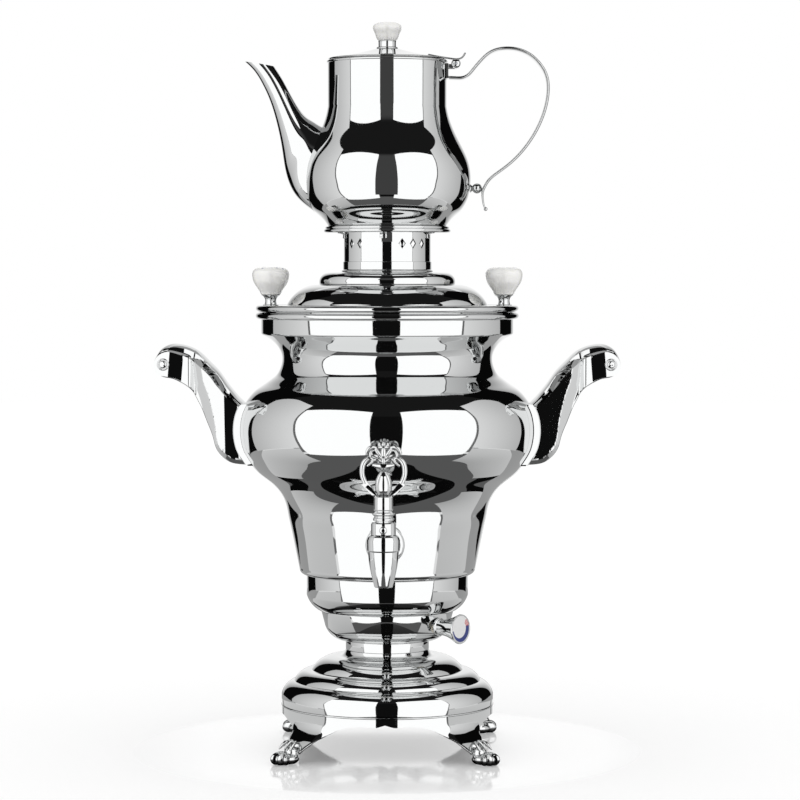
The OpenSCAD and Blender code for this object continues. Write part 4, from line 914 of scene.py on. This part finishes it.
def grip_screw(side):
    """Domed screw in a raised ring, with a slot cut across its head."""
    y = CHEEK_Y - BEVEL + 1.5
    section = eased([[3.3, -1], [5, -1], [4.7, 0.5], [4.1, 0.9], [3.5, 0.6]], 0.3, closed=True)
    ring = revolved(section, turns=56)
    head = turned_solid(joined([0, -0.6], [3.1, -0.6], [3.1, 0], arc([3.1, 0.1], [1, 1.1], 0.3), [0, 1.1]),
                        48, 0.2)
    slot = slab([[-2.6, -0.45], [2.6, -0.45], [2.6, 0.45], [-2.6, 0.45]], 0, 0.25, 0.05)
    slot = moved(turned(slot, 90, 0), (0, 0, 0.95))
    return [at_grip(p, y, side) for p in (ring, head, turned(slot, 35))]


HANDLE_RIGHT = [handle_shell()] + root_pad()
piece("side_handle_right", HANDLE_RIGHT, "handle_right", CHROME, 28)
piece("side_handle_left", [mirrored(p) for p in HANDLE_RIGHT], "handle_left", CHROME, 28)
SCREWS = grip_screw(1) + grip_screw(-1)
piece("grip_screw_heads", SCREWS + [mirrored(p) for p in SCREWS], "grip_screws", CHROME)
BAR_HALF = CHEEK_Y - HANDLE_WALL - BEVEL
BAR = at_grip(turned_solid([[0, -BAR_HALF], [GRIP_R, -BAR_HALF], [GRIP_R, BAR_HALF], [0, BAR_HALF]], 56),
              0, 1)
piece("grip_bar_right", BAR, "grip_right", CHROME)
piece("grip_bar_left", mirrored(BAR), "grip_left", CHROME)

# ---- Lid, collar and the ring that the teapot stands on ----

LID_ROLL_R = ROLL_R - 0.15
Z_LID = Z_TANK_TOP + 0.6
Z_FLANGE = Z_LID + 2 * LID_ROLL_R - 0.3
LID_DOME_R = 79.0
LID_STEP_R = 53.3


def lid_path():
    """Flat flange, low dome, rounded step, and a flat ring under the collar."""
    z_step = Z_FLANGE + 16.5
    return joined([ROLL_MID, Z_FLANGE], arc([LID_DOME_R, Z_FLANGE], [LID_STEP_R + 0.6, z_step], 0.3, 30),
                  arc([LID_STEP_R, z_step + 0.6], [LID_STEP_R - 6, Z_COLLAR - 0.6], 0.42),
                  [COLLAR_R - 6, Z_COLLAR])


PLUG_R = BAND_R - 2.4
piece("tank_lid", [spun(lid_path(), TANK_SHEET), torus(ROLL_MID, LID_ROLL_R, Z_LID + LID_ROLL_R),
                   spun([[PLUG_R, Z_FLANGE - 9], [PLUG_R, Z_FLANGE - 0.4]], TANK_SHEET)], "lid", CHROME)

VENT_W = 5.7
VENT_H = 7.8
# Turn between neighbours of a group of three vents, and direction of the first group's middle
VENT_PITCH = 16.0
VENT_START = -53
COLLAR_TOP = highest("collar")[2]
COLLAR_BORE_R = COLLAR_R - TANK_SHEET
SLEEVE_R = COLLAR_R + 0.7
Z_VENT = COLLAR_TOP - 8.5
Z_SLEEVE = Z_COLLAR + 8


def ways(corners):
    """Points along the straight ways from corner to corner and back to the first, 16 equal steps on each."""
    u = np.linspace(0, 1, 16, endpoint=False)[:, None]
    c = np.array(corners, float)
    return np.vstack([a * (1 - u) + b * u for a, b in zip(c, np.roll(c, -1, axis=0))])


def pierced_panel(az):
    """Part of the collar's tube round one diamond. Its rows go from a rectangle to the diamond inside the
    tube and back to the rectangle outside it, each point on a straight way between the two in (turn,
    height)."""
    box = ways([[-1, -1], [1, -1], [1, 1], [-1, 1]]) * [math.radians(VENT_PITCH / 2), 1]
    reach = np.where(box[:, 1] > 0, COLLAR_TOP - Z_VENT, Z_VENT - Z_SLEEVE)
    rect = np.column_stack([box[:, 0], reach * box[:, 1]])
    diamond = ways([[0, -VENT_H / 2], [VENT_W / 2, 0], [0, VENT_H / 2], [-VENT_W / 2, 0]])
    # Starts the diamond in the direction of the rectangle's first corner
    diamond = np.roll(diamond, len(diamond) // 8, axis=0) / [COLLAR_R, 1]
    rows = [diamond * (1 - s) + rect * s for s in np.linspace(0, 1, 10) ** 1.4]

    def on_tube(flat, r):
        """Points of (turn, height) laid on a tube."""
        return around(flat[:, 0] + math.radians(az), r, Z_VENT + flat[:, 1])

    outside = [on_tube(q, COLLAR_R) for q in [rows[0] * 1.04] + rows[1:]]
    inside = [on_tube(q, COLLAR_BORE_R) for q in rows[::-1]]
    return lofted(inside + [on_tube(rows[0], COLLAR_R - 0.25)] + outside)


def collar_tube():
    """The collar: pierced panels round four groups of three vents, plain stretches between them, and a sleeve
    below."""
    loop = [[COLLAR_R, Z_SLEEVE], [COLLAR_R, COLLAR_TOP], [COLLAR_BORE_R, COLLAR_TOP],
            [COLLAR_BORE_R, Z_SLEEVE], [COLLAR_R, Z_SLEEVE]]
    parts = []
    for group in range(0, 360, 90):
        parts += [pierced_panel(group + VENT_START + k * VENT_PITCH) for k in (-1, 0, 1)]
        start = group + VENT_START + 1.5 * VENT_PITCH
        a = np.radians(np.linspace(start, start + 90 - 3 * VENT_PITCH, 30))
        parts.append(lofted([around(a, r, z) for r, z in loop], cols_wrap=False))
    foot = eased(joined([COLLAR_BORE_R, Z_COLLAR], [COLLAR_R + 1.9, Z_COLLAR], [COLLAR_R + 1.9, Z_COLLAR + 1],
                        [SLEEVE_R, Z_COLLAR + 1.7], [SLEEVE_R, Z_SLEEVE], [COLLAR_BORE_R, Z_SLEEVE]),
                 0.4, closed=True)
    return parts + [revolved(foot)]


piece("vented_collar", collar_tube(), "collar", CHROME)

REST_TOP = highest("pot_rest")[2]
REST_MID = highest("pot_rest")[0] - 1.6
REST_HOLE_R = COLLAR_R - 7
REST_SHEET = 1.5
CLIPS = 5
# Direction of the first clip
CLIP_START = -94


def clip(k):
    """Small folded clip that holds the teapot's ring to the collar."""
    bend = smooth([[COLLAR_R + 0.8, Z_REST - 4], [COLLAR_R + 0.9, Z_REST - 1.2],
                   [COLLAR_R + 2.4, Z_REST - 0.4], [COLLAR_R + 5, Z_REST + 0.1]], 0.5)
    return turned(rod(upright(bend), 0.6, (0, 1, 0), 20, 4.6), CLIP_START + 360 / CLIPS * k)


rest_loop = joined(
    [REST_HOLE_R, Z_REST], [REST_MID - 1.2, Z_REST],
    arc([REST_MID, Z_REST], [REST_MID, Z_REST + 3.2], 1.0, 20),
    arc([REST_MID - 0.2, Z_REST + 2.9], [REST_MID - 0.6, REST_TOP], 0.8, 14),
    arc([REST_MID - 1.6, REST_TOP], [REST_MID - 3, Z_REST + REST_SHEET], -0.3),
    [REST_HOLE_R, Z_REST + REST_SHEET])
piece("teapot_rest_ring", [revolved(eased(rest_loop, 0.3, closed=True))] + [clip(k) for k in range(CLIPS)],
      "pot_rest", CHROME)


def porcelain_knob(node, foot_r, x=0.0):
    """Cup-shaped knob as large as the node, widest seven tenths of the way up, with a low dome on top."""
    r, h = size_of(node)[[0, 2]] * [0.5, 1]
    side = smooth([[foot_r, 0.5], [foot_r + 0.5, h * 0.08], [r - 1.5, h * 0.42], [r - 0.2, h * 0.62],
                   [r, h * 0.72], [r - 0.7, h * 0.85], [r * 0.8, h * 0.94], [r * 0.45, h * 0.985], [0.4, h]],
                  0.4)
    return moved(turned_solid(joined([0, 0], [foot_r - 0.8, 0], side, [0, h]), 112), (x, 0, lowest(node)[2]))


def knob_ferrule(x):
    """Ferrule under a lid knob, with its stud below the sheet."""
    side = smooth([[4.9, 0.8], [4.4, 3], [4.6, 5.2], [6.1, 7.2], [7.6, 8.2]], 0.4)
    ring = turned_solid(joined([0, -3.6], [3.4, -3.6], [3.4, -1.7], [2.5, -1.7], [2.5, 0], [6.2, 0],
                               [6.2, 0.6], side, [7.4, 8.4], [0, 8.4]), 72, 0.2)
    return moved(ring, (x, 0, Z_FLANGE))


KNOB_X = centre_of("lid_knob_right")[0]
for side, name in ((1, "right"), (-1, "left")):
    piece("porcelain_lid_knob_" + name, porcelain_knob("lid_knob_right", 7.8, side * KNOB_X),
          "lid_knob_" + name, PORCELAIN)
piece("lid_knob_ferrules", [knob_ferrule(KNOB_X), knob_ferrule(-KNOB_X)], "knob_ferrules", CHROME)

# ---- Teapot ----

POT_FOOT = [POT_NECK_R - 3, Z_POT]
POT_BELLY = [POT_BELLY_R, Z_POT + 40]
POT_SHOULDER = [POT_NECK_R, Z_POT + 97]


def pot_path():
    """Flat foot, round belly, soft shoulder and a straight neck."""
    return joined(
        [0, Z_POT],
        smooth(joined(
            shape(POT_FOOT, POT_BELLY, [[0, 0], [0.13, 0.09], [0.23, 0.17], [0.44, 0.29], [0.66, 0.4],
                                        [0.8, 0.515], [0.9, 0.64], [0.975, 0.84]]),
            shape(POT_BELLY, POT_SHOULDER, [[0, 0], [0.01, 0.08], [0.1, 0.24], [0.31, 0.41], [0.6, 0.6],
                                            [0.81, 0.76], [0.94, 0.9], [1, 1]]))),
        [POT_NECK_R, Z_POT_RIM])


POT_PATH = pot_path()
piece("teapot_shell", [spun(POT_PATH, POT_SHEET), torus(POT_NECK_R - 0.2, 1.1, Z_POT_RIM - 1.3)], "pot_shell",
      CHROME)


def pot_r(z):
    """Outer radius of the teapot at a height."""
    return np.interp(z, POT_PATH[:, 1], POT_PATH[:, 0])


# Sections of the spout from its foot to its mouth: lower point and upper point in the pot's plane of
# symmetry, as (distance to the left of the axis, height above the pot's foot), and half its width
SPOUT_SECTIONS = [[56.5, 14.4, 48.6, 81.2, 21], [71.1, 26.8, 53, 83, 19.2], [78.9, 43.5, 58.1, 85.4, 16.8],
                  [82.4, 64, 63.3, 88.8, 14.2], [86.3, 83.5, 68.6, 94.8, 12], [91.4, 100.7, 74.2, 104, 10.1],
                  [97.2, 113.8, 79.6, 114, 8.8], [104, 124.8, 84, 121.6, 7.8], [111.2, 132, 88.4, 128.2, 7.2]]


def spout_rings(inset):
    """Ovals through the sections. The first is moved onto the pot's wall, and the move fades out over the
    first three tenths of the way."""
    s = smooth(SPOUT_SECTIONS, 1.6)
    a = round_turn(88)[None, :, None]
    low, high = s[:, None, 0:2], s[:, None, 2:4]
    half = (low - high) / 2
    flat = (low + high) / 2 + half * (1 - inset / lengths(half)) * np.cos(a)
    y = -(s[:, 4][:, None] - inset) * np.sin(a[..., 0])
    x, z = -flat[..., 0], Z_POT + flat[..., 1]
    on_pot = -np.sqrt((pot_r(z[:1]) + 0.05) ** 2 - y[:1] ** 2)
    fade = (1 - ramp(np.linspace(0, 1, len(s)), 0, 0.3))[:, None]
    return np.stack([x + (on_pot - x[:1]) * fade, y, z], axis=-1)


piece("spout", lofted(np.concatenate([spout_rings(0), spout_rings(1.2)[::-1]]), True), "pot_spout", CHROME)

STRAP_START = POT_NECK_R + 1.9
STRAP_W = 18.0
POT_H = Z_POT_RIM - Z_POT
# Middle line of the strap handle: distance from its start, height as a share of the pot's
STRAP_LINE = [[0, 0.8962], [5.6, 0.8945], [10.4, 0.896], [14, 0.907], [18.6, 0.943], [24.5, 0.995],
              [31.6, 1.042], [38.8, 1.063], [46.7, 1.068], [53, 1.062], [61.3, 1.038], [70.2, 0.98],
              [75.7, 0.91], [77.2, 0.827], [75.8, 0.743], [72.2, 0.655], [64.8, 0.546], [56.2, 0.459],
              [46.5, 0.388], [37.1, 0.335], [30.9, 0.295], [27.5, 0.253], [26.2, 0.223], [26.4, 0.179],
              [27.4, 0.143], [28.6, 0.126]]


def strap():
    """Strap with rounded edges along its line: each ring is a flattened oval whose half thickness is a sine
    to the power 0.62, and it narrows towards the curled tail."""
    line = smooth([[STRAP_START + x, Z_POT + s * POT_H] for x, s in STRAP_LINE], 1.0)
    share = np.linspace(0, 1, len(line))
    thick = 1.45 - 0.6 * ramp(share, 0.88, 1)
    wide = STRAP_W / 2 * (1 - 0.35 * ramp(share, 0.86, 1))
    t = np.gradient(line, axis=0)
    n = np.column_stack([-t[:, 1], t[:, 0]]) / lengths(t)
    a = round_turn(48)
    c, s = np.cos(a), np.sin(a)
    y = -wide[:, None] * np.sign(c) * abs(c) ** 0.9
    off = thick[:, None] * np.sign(s) * abs(s) ** 0.62
    rings = np.stack([line[:, :1] + n[:, :1] * off, y, line[:, 1:] + n[:, 1:] * off], axis=-1)
    end = line[-1]
    curl = rod([[end[0], side * STRAP_W * 0.3, end[1]] for side in (-1, 1)], 1.5, (1, 0, 0), 24)
    return [capped(rings), curl]


piece("strap_handle", strap(), "pot_handle", CHROME, 40)
STUD_X, STUD_Z = STRAP_START + 21.8, Z_POT + 0.248 * POT_H


def stud():
    """Ball with a waisted foot towards the pot."""
    ball_r = 4.0
    foot = pot_r(STUD_Z) - STUD_X
    a = np.linspace(-1.05, np.pi / 2, 30)
    profile = joined([0, foot + 0.1], [3.6, foot + 0.1], [2.4, foot + 1.2], [2, -3.6],
                     np.column_stack([ball_r * np.cos(a), ball_r * np.sin(a)]))
    return moved(turned(turned_solid(profile, 72, 0.4), 90, 1), (STUD_X, 0, STUD_Z))


piece("strap_stud", stud(), "handle_stud", CHROME)

HINGE_X = POT_NECK_R + 7.2
HINGE_Z = Z_POT_RIM - 3
HINGE_R = 3.6
HINGE_HALF = 8.0
LEAF_HALF = 3.5


def knuckle(y0, y1, r=HINGE_R, front=0.0, back=0.0):
    """Part of the hinge's barrel between two places across the pot, with a dome of the given height at each
    end."""
    w = np.linspace(0, np.pi / 2, 9)[1:, None]
    bow, wide = 1 - np.cos(w), r * np.sin(w)
    ends = [np.hstack([wide, y0 + front * bow]), np.hstack([wide, y1 - back * bow])[::-1]]
    solid = turned_solid(joined([0, y0], *ends, [0, y1]), 48, 0.3)
    return moved(turned(solid, -90, 0), (HINGE_X, 0, HINGE_Z))


def hinge_bracket():
    """Curved plate soldered to the neck, with two ears that carry the outer knuckles."""
    foot, top = Z_POT_RIM - 14.6, Z_POT_RIM - 2.9
    inner, outer = POT_NECK_R + 0.1, POT_NECK_R + 1.8
    loop = np.array([[inner, foot], [outer - 0.3, foot], [outer, foot + 0.4], [outer, top], [inner, top]])
    half = math.asin(HINGE_HALF / (POT_NECK_R + 1))
    plate = around(np.linspace(-half, half, 24)[:, None], loop[:, 0], loop[:, 1])
    parts = [flipped(capped(plate))]
    for side in (-1, 1):
        y0, y1 = sorted((side * (LEAF_HALF + 0.3), side * HINGE_HALF))
        x0, x1, z0, z1 = POT_NECK_R + 0.9, HINGE_X, HINGE_Z - HINGE_R, HINGE_Z - 0.4
        web = slab([[x0, z0], [x1, z0], [x1, z1], [x0, z1]],
                   max(y0, 1.6 - HINGE_HALF), min(y1, HINGE_HALF - 1.6), 0.4)
        parts += [web, knuckle(y0, y1, HINGE_R, 2.4 * (side < 0), 2.4 * (side > 0))]
    return parts


piece("lid_hinge_bracket", hinge_bracket(), "hinge_bracket", CHROME)
piece("lid_hinge_pin", knuckle(-HINGE_HALF - 0.6, HINGE_HALF + 0.6, 1.3, 0.8, 0.8), "hinge_pin", ZINC)

Z_POT_LID = lowest("pot_lid")[2] + 2.4
POT_LID_R = highest("pot_lid")[0]
POT_LID_TOP = highest("pot_lid")[2]
POT_PLUG_R = POT_NECK_R - 2.9
POT_LID_SHEET = 1.0
lid_top = joined([POT_LID_R - 0.4, Z_POT_LID], [POT_LID_R, Z_POT_LID + 0.5],
                 smooth([[POT_LID_R - 0.3, Z_POT_LID + 1], [40, Z_POT_LID + 1.9], [34, Z_POT_LID + 2.9],
                         [25, Z_POT_LID + 4.6], [16, Z_POT_LID + 6.7], [9, POT_LID_TOP - 0.1]]),
                 [0, POT_LID_TOP])
plug = [[POT_PLUG_R, Z_POT_LID - 2.4], [POT_PLUG_R, Z_POT_LID + 1]]
piece("teapot_lid_cone", [spun(lid_top, POT_LID_SHEET), spun(plug, POT_LID_SHEET)], "pot_lid", CHROME)


def thumb_leaf():
    """Strip from the lid over the hinge's middle knuckle, which rises into a thumb piece."""
    line = smooth([[POT_NECK_R - 14, Z_POT_LID + 3.9], [POT_NECK_R - 4, Z_POT_LID + 2],
                   [POT_NECK_R + 3.2, Z_POT_LID + 0.9], [HINGE_X + 1, HINGE_Z + HINGE_R + 0.2],
                   [HINGE_X + 4, HINGE_Z + HINGE_R + 0.9], [HINGE_X + 7, HINGE_Z + 8.2]], 0.6)
    half = 0.85
    return [rod(upright(line), half, (0, 1, 0), 28, LEAF_HALF / half), knuckle(-LEAF_HALF, LEAF_HALF)]


piece("lid_thumb_leaf", thumb_leaf(), "lid_leaf", CHROME)
ferrule = turned_solid(joined([0, 0], [8.4, 0], [8.4, 0.7], arc([8, 1.2], [7, 1.2], -0.4), [6.9, 1.5],
                              [6.9, 5.4], [7.3, 6], [0, 6]), 80, 0.3)
piece("teapot_knob_ferrule", moved(ferrule, (0, 0, lowest("pot_knob_ferrule")[2])), "pot_knob_ferrule",
      CHROME)
piece("porcelain_teapot_knob", porcelain_knob("pot_knob", 7.4), "pot_knob", PORCELAIN)

# ---- Finishes of the pieces that keep their own solid ----

KEPT = {"paw_screws": ZINC, "tie_rod": ZINC, "tie_nuts": ZINC, "root_bolts": ZINC, "thermostat_shaft": ZINC,
        "heat_plate": CAST, "heating_ring": SHEATH, "thermal_cutout": PHENOLIC, "thermostat_body": CERAMIC,
        "inlet_socket": NYLON, "inlet_pins": BRASS, "tap_washer": SILICONE, "tap_backnut": BRASS,
        "key_plug": CHROME}
for name, finish in KEPT.items():
    frame["nodes"][name].data.materials.clear()
    frame["nodes"][name].data.materials.append(finish)

# ---- Studio ----

# Each softbox is a flat card: the direction it faces from, its distance from the axis, its foot and its top
SOFTBOX_FACING = 32.0
SOFTBOX_AT = 853.0
SOFTBOX_FOOT = -345.0
SOFTBOX_TOP = 1285.0
# Distance of the cards at both sides from the axis
SIDE_AT = 750.0
SHARE = np.linspace(0, 1, 14)
ONLY_IN_METAL = ("camera", "diffuse", "shadow", "transmission", "volume_scatter")


def stage_piece(name, part, finish, hidden_from=()):
    """A piece of the studio, which isn't part of the object."""
    mesh = bpy.data.meshes.new(name)
    mesh.from_pydata(part[0] * MM, [], part[1].tolist())
    mesh.materials.append(finish)
    o = bpy.data.objects.new(name, mesh)
    bpy.context.scene.collection.objects.link(o)
    for ray in hidden_from:
        setattr(o, "visible_" + ray, False)


def one_sided(tree, shader):
    """The shader on the front of each face, and nothing behind it."""
    clear = add(tree, "ShaderNodeBsdfTransparent")
    behind = add(tree, "ShaderNodeNewGeometry").outputs["Backfacing"]
    return add(tree, "ShaderNodeMixShader", {0: behind, 1: shader.outputs[0], 2: clear.outputs[0]})


def card(name, part, start, end=None, along="Z", span=(0.0, 1.0)):
    """A card that shows in polished metal only, from its front. Its brightness stays at start, or goes from
    start to end between two places along an axis."""
    m, t = new_finish(name + "_glow")
    strength = start
    if end is not None:
        at = add(t, "ShaderNodeTexCoord").outputs["Object"]
        place = add(t, "ShaderNodeSeparateXYZ", {"Vector": at}).outputs[along]
        strength = add(t, "ShaderNodeMapRange", {"Value": place, "From Min": span[0], "From Max": span[1],
                                                 "To Min": start, "To Max": end}).outputs[0]
    shader = one_sided(t, add(t, "ShaderNodeEmission", {"Strength": strength}))
    add(t, "ShaderNodeOutputMaterial", {"Surface": shader.outputs[0]})
    stage_piece(name, part, m, ONLY_IN_METAL)


def facing(az, r, z):
    """Points at distance r from the axis and height z, in directions counted from the front towards the
    right."""
    return around(np.radians(az) - np.pi / 2, r, z)


def wall(lower, upper, low, high, reach, side=1, shares=SHARE):
    """Upright card between a lower and an upper edge. Each edge starts in a direction, sweeps on from it
    towards the right, or towards the left where side is -1, and has a height, or one for each of its points,
    and a distance from the axis. The distance is a number, one for each edge, or a function of the
    direction."""
    rows = []
    for k, ((start, sweep), z) in enumerate(((lower, low), (upper, high))):
        az = (start + sweep * shares) * side
        rows.append(facing(az, reach(az) if callable(reach) else np.broadcast_to(reach, 2)[k], z))
    part = lofted(rows, cols_wrap=False)
    return flipped(part) if side > 0 else part


def on_softbox(az):
    """Distance of a flat softbox from the axis in a direction: its nearest distance over the cosine of the
    turn."""
    return SOFTBOX_AT / np.cos(np.radians(abs(az) - SOFTBOX_FACING))


for side, name, inner in ((1, "right", 12.0), (-1, "left", 11.0)):
    card("softbox_" + name, wall((inner - 0.7, 64.7 - inner), (inner + 1.5, 75 - inner),
                                 SOFTBOX_FOOT, SOFTBOX_TOP, on_softbox, side), 1.42)
    card("seam_" + name, wall((58, 16), (68, 18), -400, 1320, 1300, side), 0.18)
    card("side_card_" + name, wall((67, 52), (78, 41), 0, 1090 - 330 * SHARE**4, SIDE_AT, side),
         0.95, 0.6, "Y", (-0.28, 0.36))
    # Sheet below floor level that metal sees in place of the floor at the sides. It is darker towards its
    # foot, which is painted shade of the object on that floor.
    card("side_floor_painted_shade_" + name, wall((67, 50), (67, 83), -1000, -8, SIDE_AT, side),
         0.34, 0.75, "Z", (-0.9, 0.0))
    card("flag_" + name, wall((112, 38), (112, 38), -600, 1400, 800, side), 0.003)
    card("upper_flag_" + name, wall((60, 65), (60, 65), 900, 2000, 1400, side), 0.008)
    card("back_card_" + name, wall((147, 22), (147, 22), -400, 1000, 1000, side),
         0.3, 1.0, "X", (0.53 * side, 0.22 * side))
FEWER = np.linspace(0, 1, 8)
card("gap", wall((-18, 36), (-18, 36), -700, 2000, 1400, shares=FEWER), 0.006)
card("upper_gap", wall((-11.5, 24), (-11.5, 24), 400, 1900, (120, 1400), shares=FEWER),
     0.065, 0.015, "Z", (0.8, 1.3))
CEILING = ((1, 2000), (1100, 1750), (1300, 1320))
for name, start, end, level in (("ceiling", -125, 125, 0.012), ("back_ceiling", 125, 235, 0.42)):
    az = np.linspace(start, end, 48)
    card(name, lofted([facing(az, r, z) for r, z in CEILING], cols_wrap=False), level)
az = np.linspace(-180, 180, 64)
card("room_floor", lofted([facing(az, r, -620) for r in (1500, 1)], cols_wrap=False), 0.12)
ONE_FACE = np.array([[0, 1, 2, 3]])
BACK_FLOOR = np.array([[-700, 260, 0.5], [700, 260, 0.5], [1500, 2000, 0.5], [-1500, 2000, 0.5]])
card("back_floor", (BACK_FLOOR, ONE_FACE), 0.4)


def black_table():
    """Glossy black oval under the object that only polished metal sees: from below it lets everything
    through."""
    m, t = new_finish("black_acrylic_sheet")
    sheet = add(t, "ShaderNodeBsdfPrincipled", {"Base Color": linear("#0E0E0E"), "Roughness": 0.03,
                                                "IOR": 1.25})
    shader = one_sided(t, sheet)
    add(t, "ShaderNodeOutputMaterial", {"Surface": shader.outputs[0]})
    a = round_turn(72)
    half_x, half_y, centre_y = 138, 240, 5
    rim = np.column_stack([half_x * np.cos(a), centre_y + half_y * np.sin(a), 0 * a + 0.5])
    stage_piece("black_table", (rim, np.arange(len(a))[None, :]), m, ONLY_IN_METAL)


def floor():
    """The pale floor, which polished metal doesn't see: matt, with a sheen near the object that shows the
    base."""
    m, t = new_finish("white_acrylic_floor")
    path = add(t, "ShaderNodeLightPath")
    lift = add(t, "ShaderNodeMath", {0: path.outputs["Is Camera Ray"], 1: 0.16}, operation="MULTIPLY")
    at = add(t, "ShaderNodeTexCoord").outputs["Object"]
    away = add(t, "ShaderNodeVectorMath", {0: at}, operation="LENGTH").outputs["Value"]
    sheen = add(t, "ShaderNodeMapRange", {"Value": away, "From Min": 0.11, "From Max": 0.2, "To Min": 0.35,
                                          "To Max": 0.0})
    shader = add(t, "ShaderNodeBsdfPrincipled", {
        "Base Color": linear("#F0F0F0"), "Roughness": 0.06, "Specular IOR Level": sheen.outputs[0],
        "Emission Color": (1.0, 1.0, 1.0, 1.0), "Emission Strength": lift.outputs[0]})
    add(t, "ShaderNodeOutputMaterial", {"Surface": shader.outputs[0]})
    s = 6000
    corners = np.array([[-s, -s, 0], [s, -s, 0], [s, s, 0], [-s, s, 0]], float)
    stage_piece("floor", (corners, ONE_FACE), m, ("glossy",))


black_table()
floor()

world = bpy.data.worlds.new("studio")
bpy.context.scene.world = world
world.use_nodes = True
world.node_tree.nodes.clear()
background = add(world.node_tree, "ShaderNodeBackground", {"Color": (1, 1, 1, 1), "Strength": 1.0})
add(world.node_tree, "ShaderNodeOutputWorld", {"Surface": background.outputs[0]})

# ---- Camera ----

LENS_PX = 2830.0
FRAME_PX = 800.0
CAMERA_DISTANCE = 2.222
CAMERA_HEIGHT = 0.3734
CAMERA_AZIMUTH = math.radians(1.25)
CAMERA_PITCH = math.radians(2.53)
AXIS_OFFSET_PX = 12.7

camera_data = bpy.data.cameras.new("camera")
camera = bpy.data.objects.new("camera", camera_data)
bpy.context.scene.collection.objects.link(camera)
camera_data.sensor_width = 36.0
camera_data.lens = LENS_PX / FRAME_PX * camera_data.sensor_width
camera.location = (CAMERA_DISTANCE * math.sin(CAMERA_AZIMUTH), -CAMERA_DISTANCE * math.cos(CAMERA_AZIMUTH),
                   CAMERA_HEIGHT)
yaw = CAMERA_AZIMUTH - math.atan(AXIS_OFFSET_PX / LENS_PX)
camera.rotation_mode = "XYZ"
camera.rotation_euler = (math.pi / 2 - CAMERA_PITCH, 0.0, yaw)
bpy.context.scene.camera = camera
bpy.context.scene.view_settings.view_transform = "Standard"
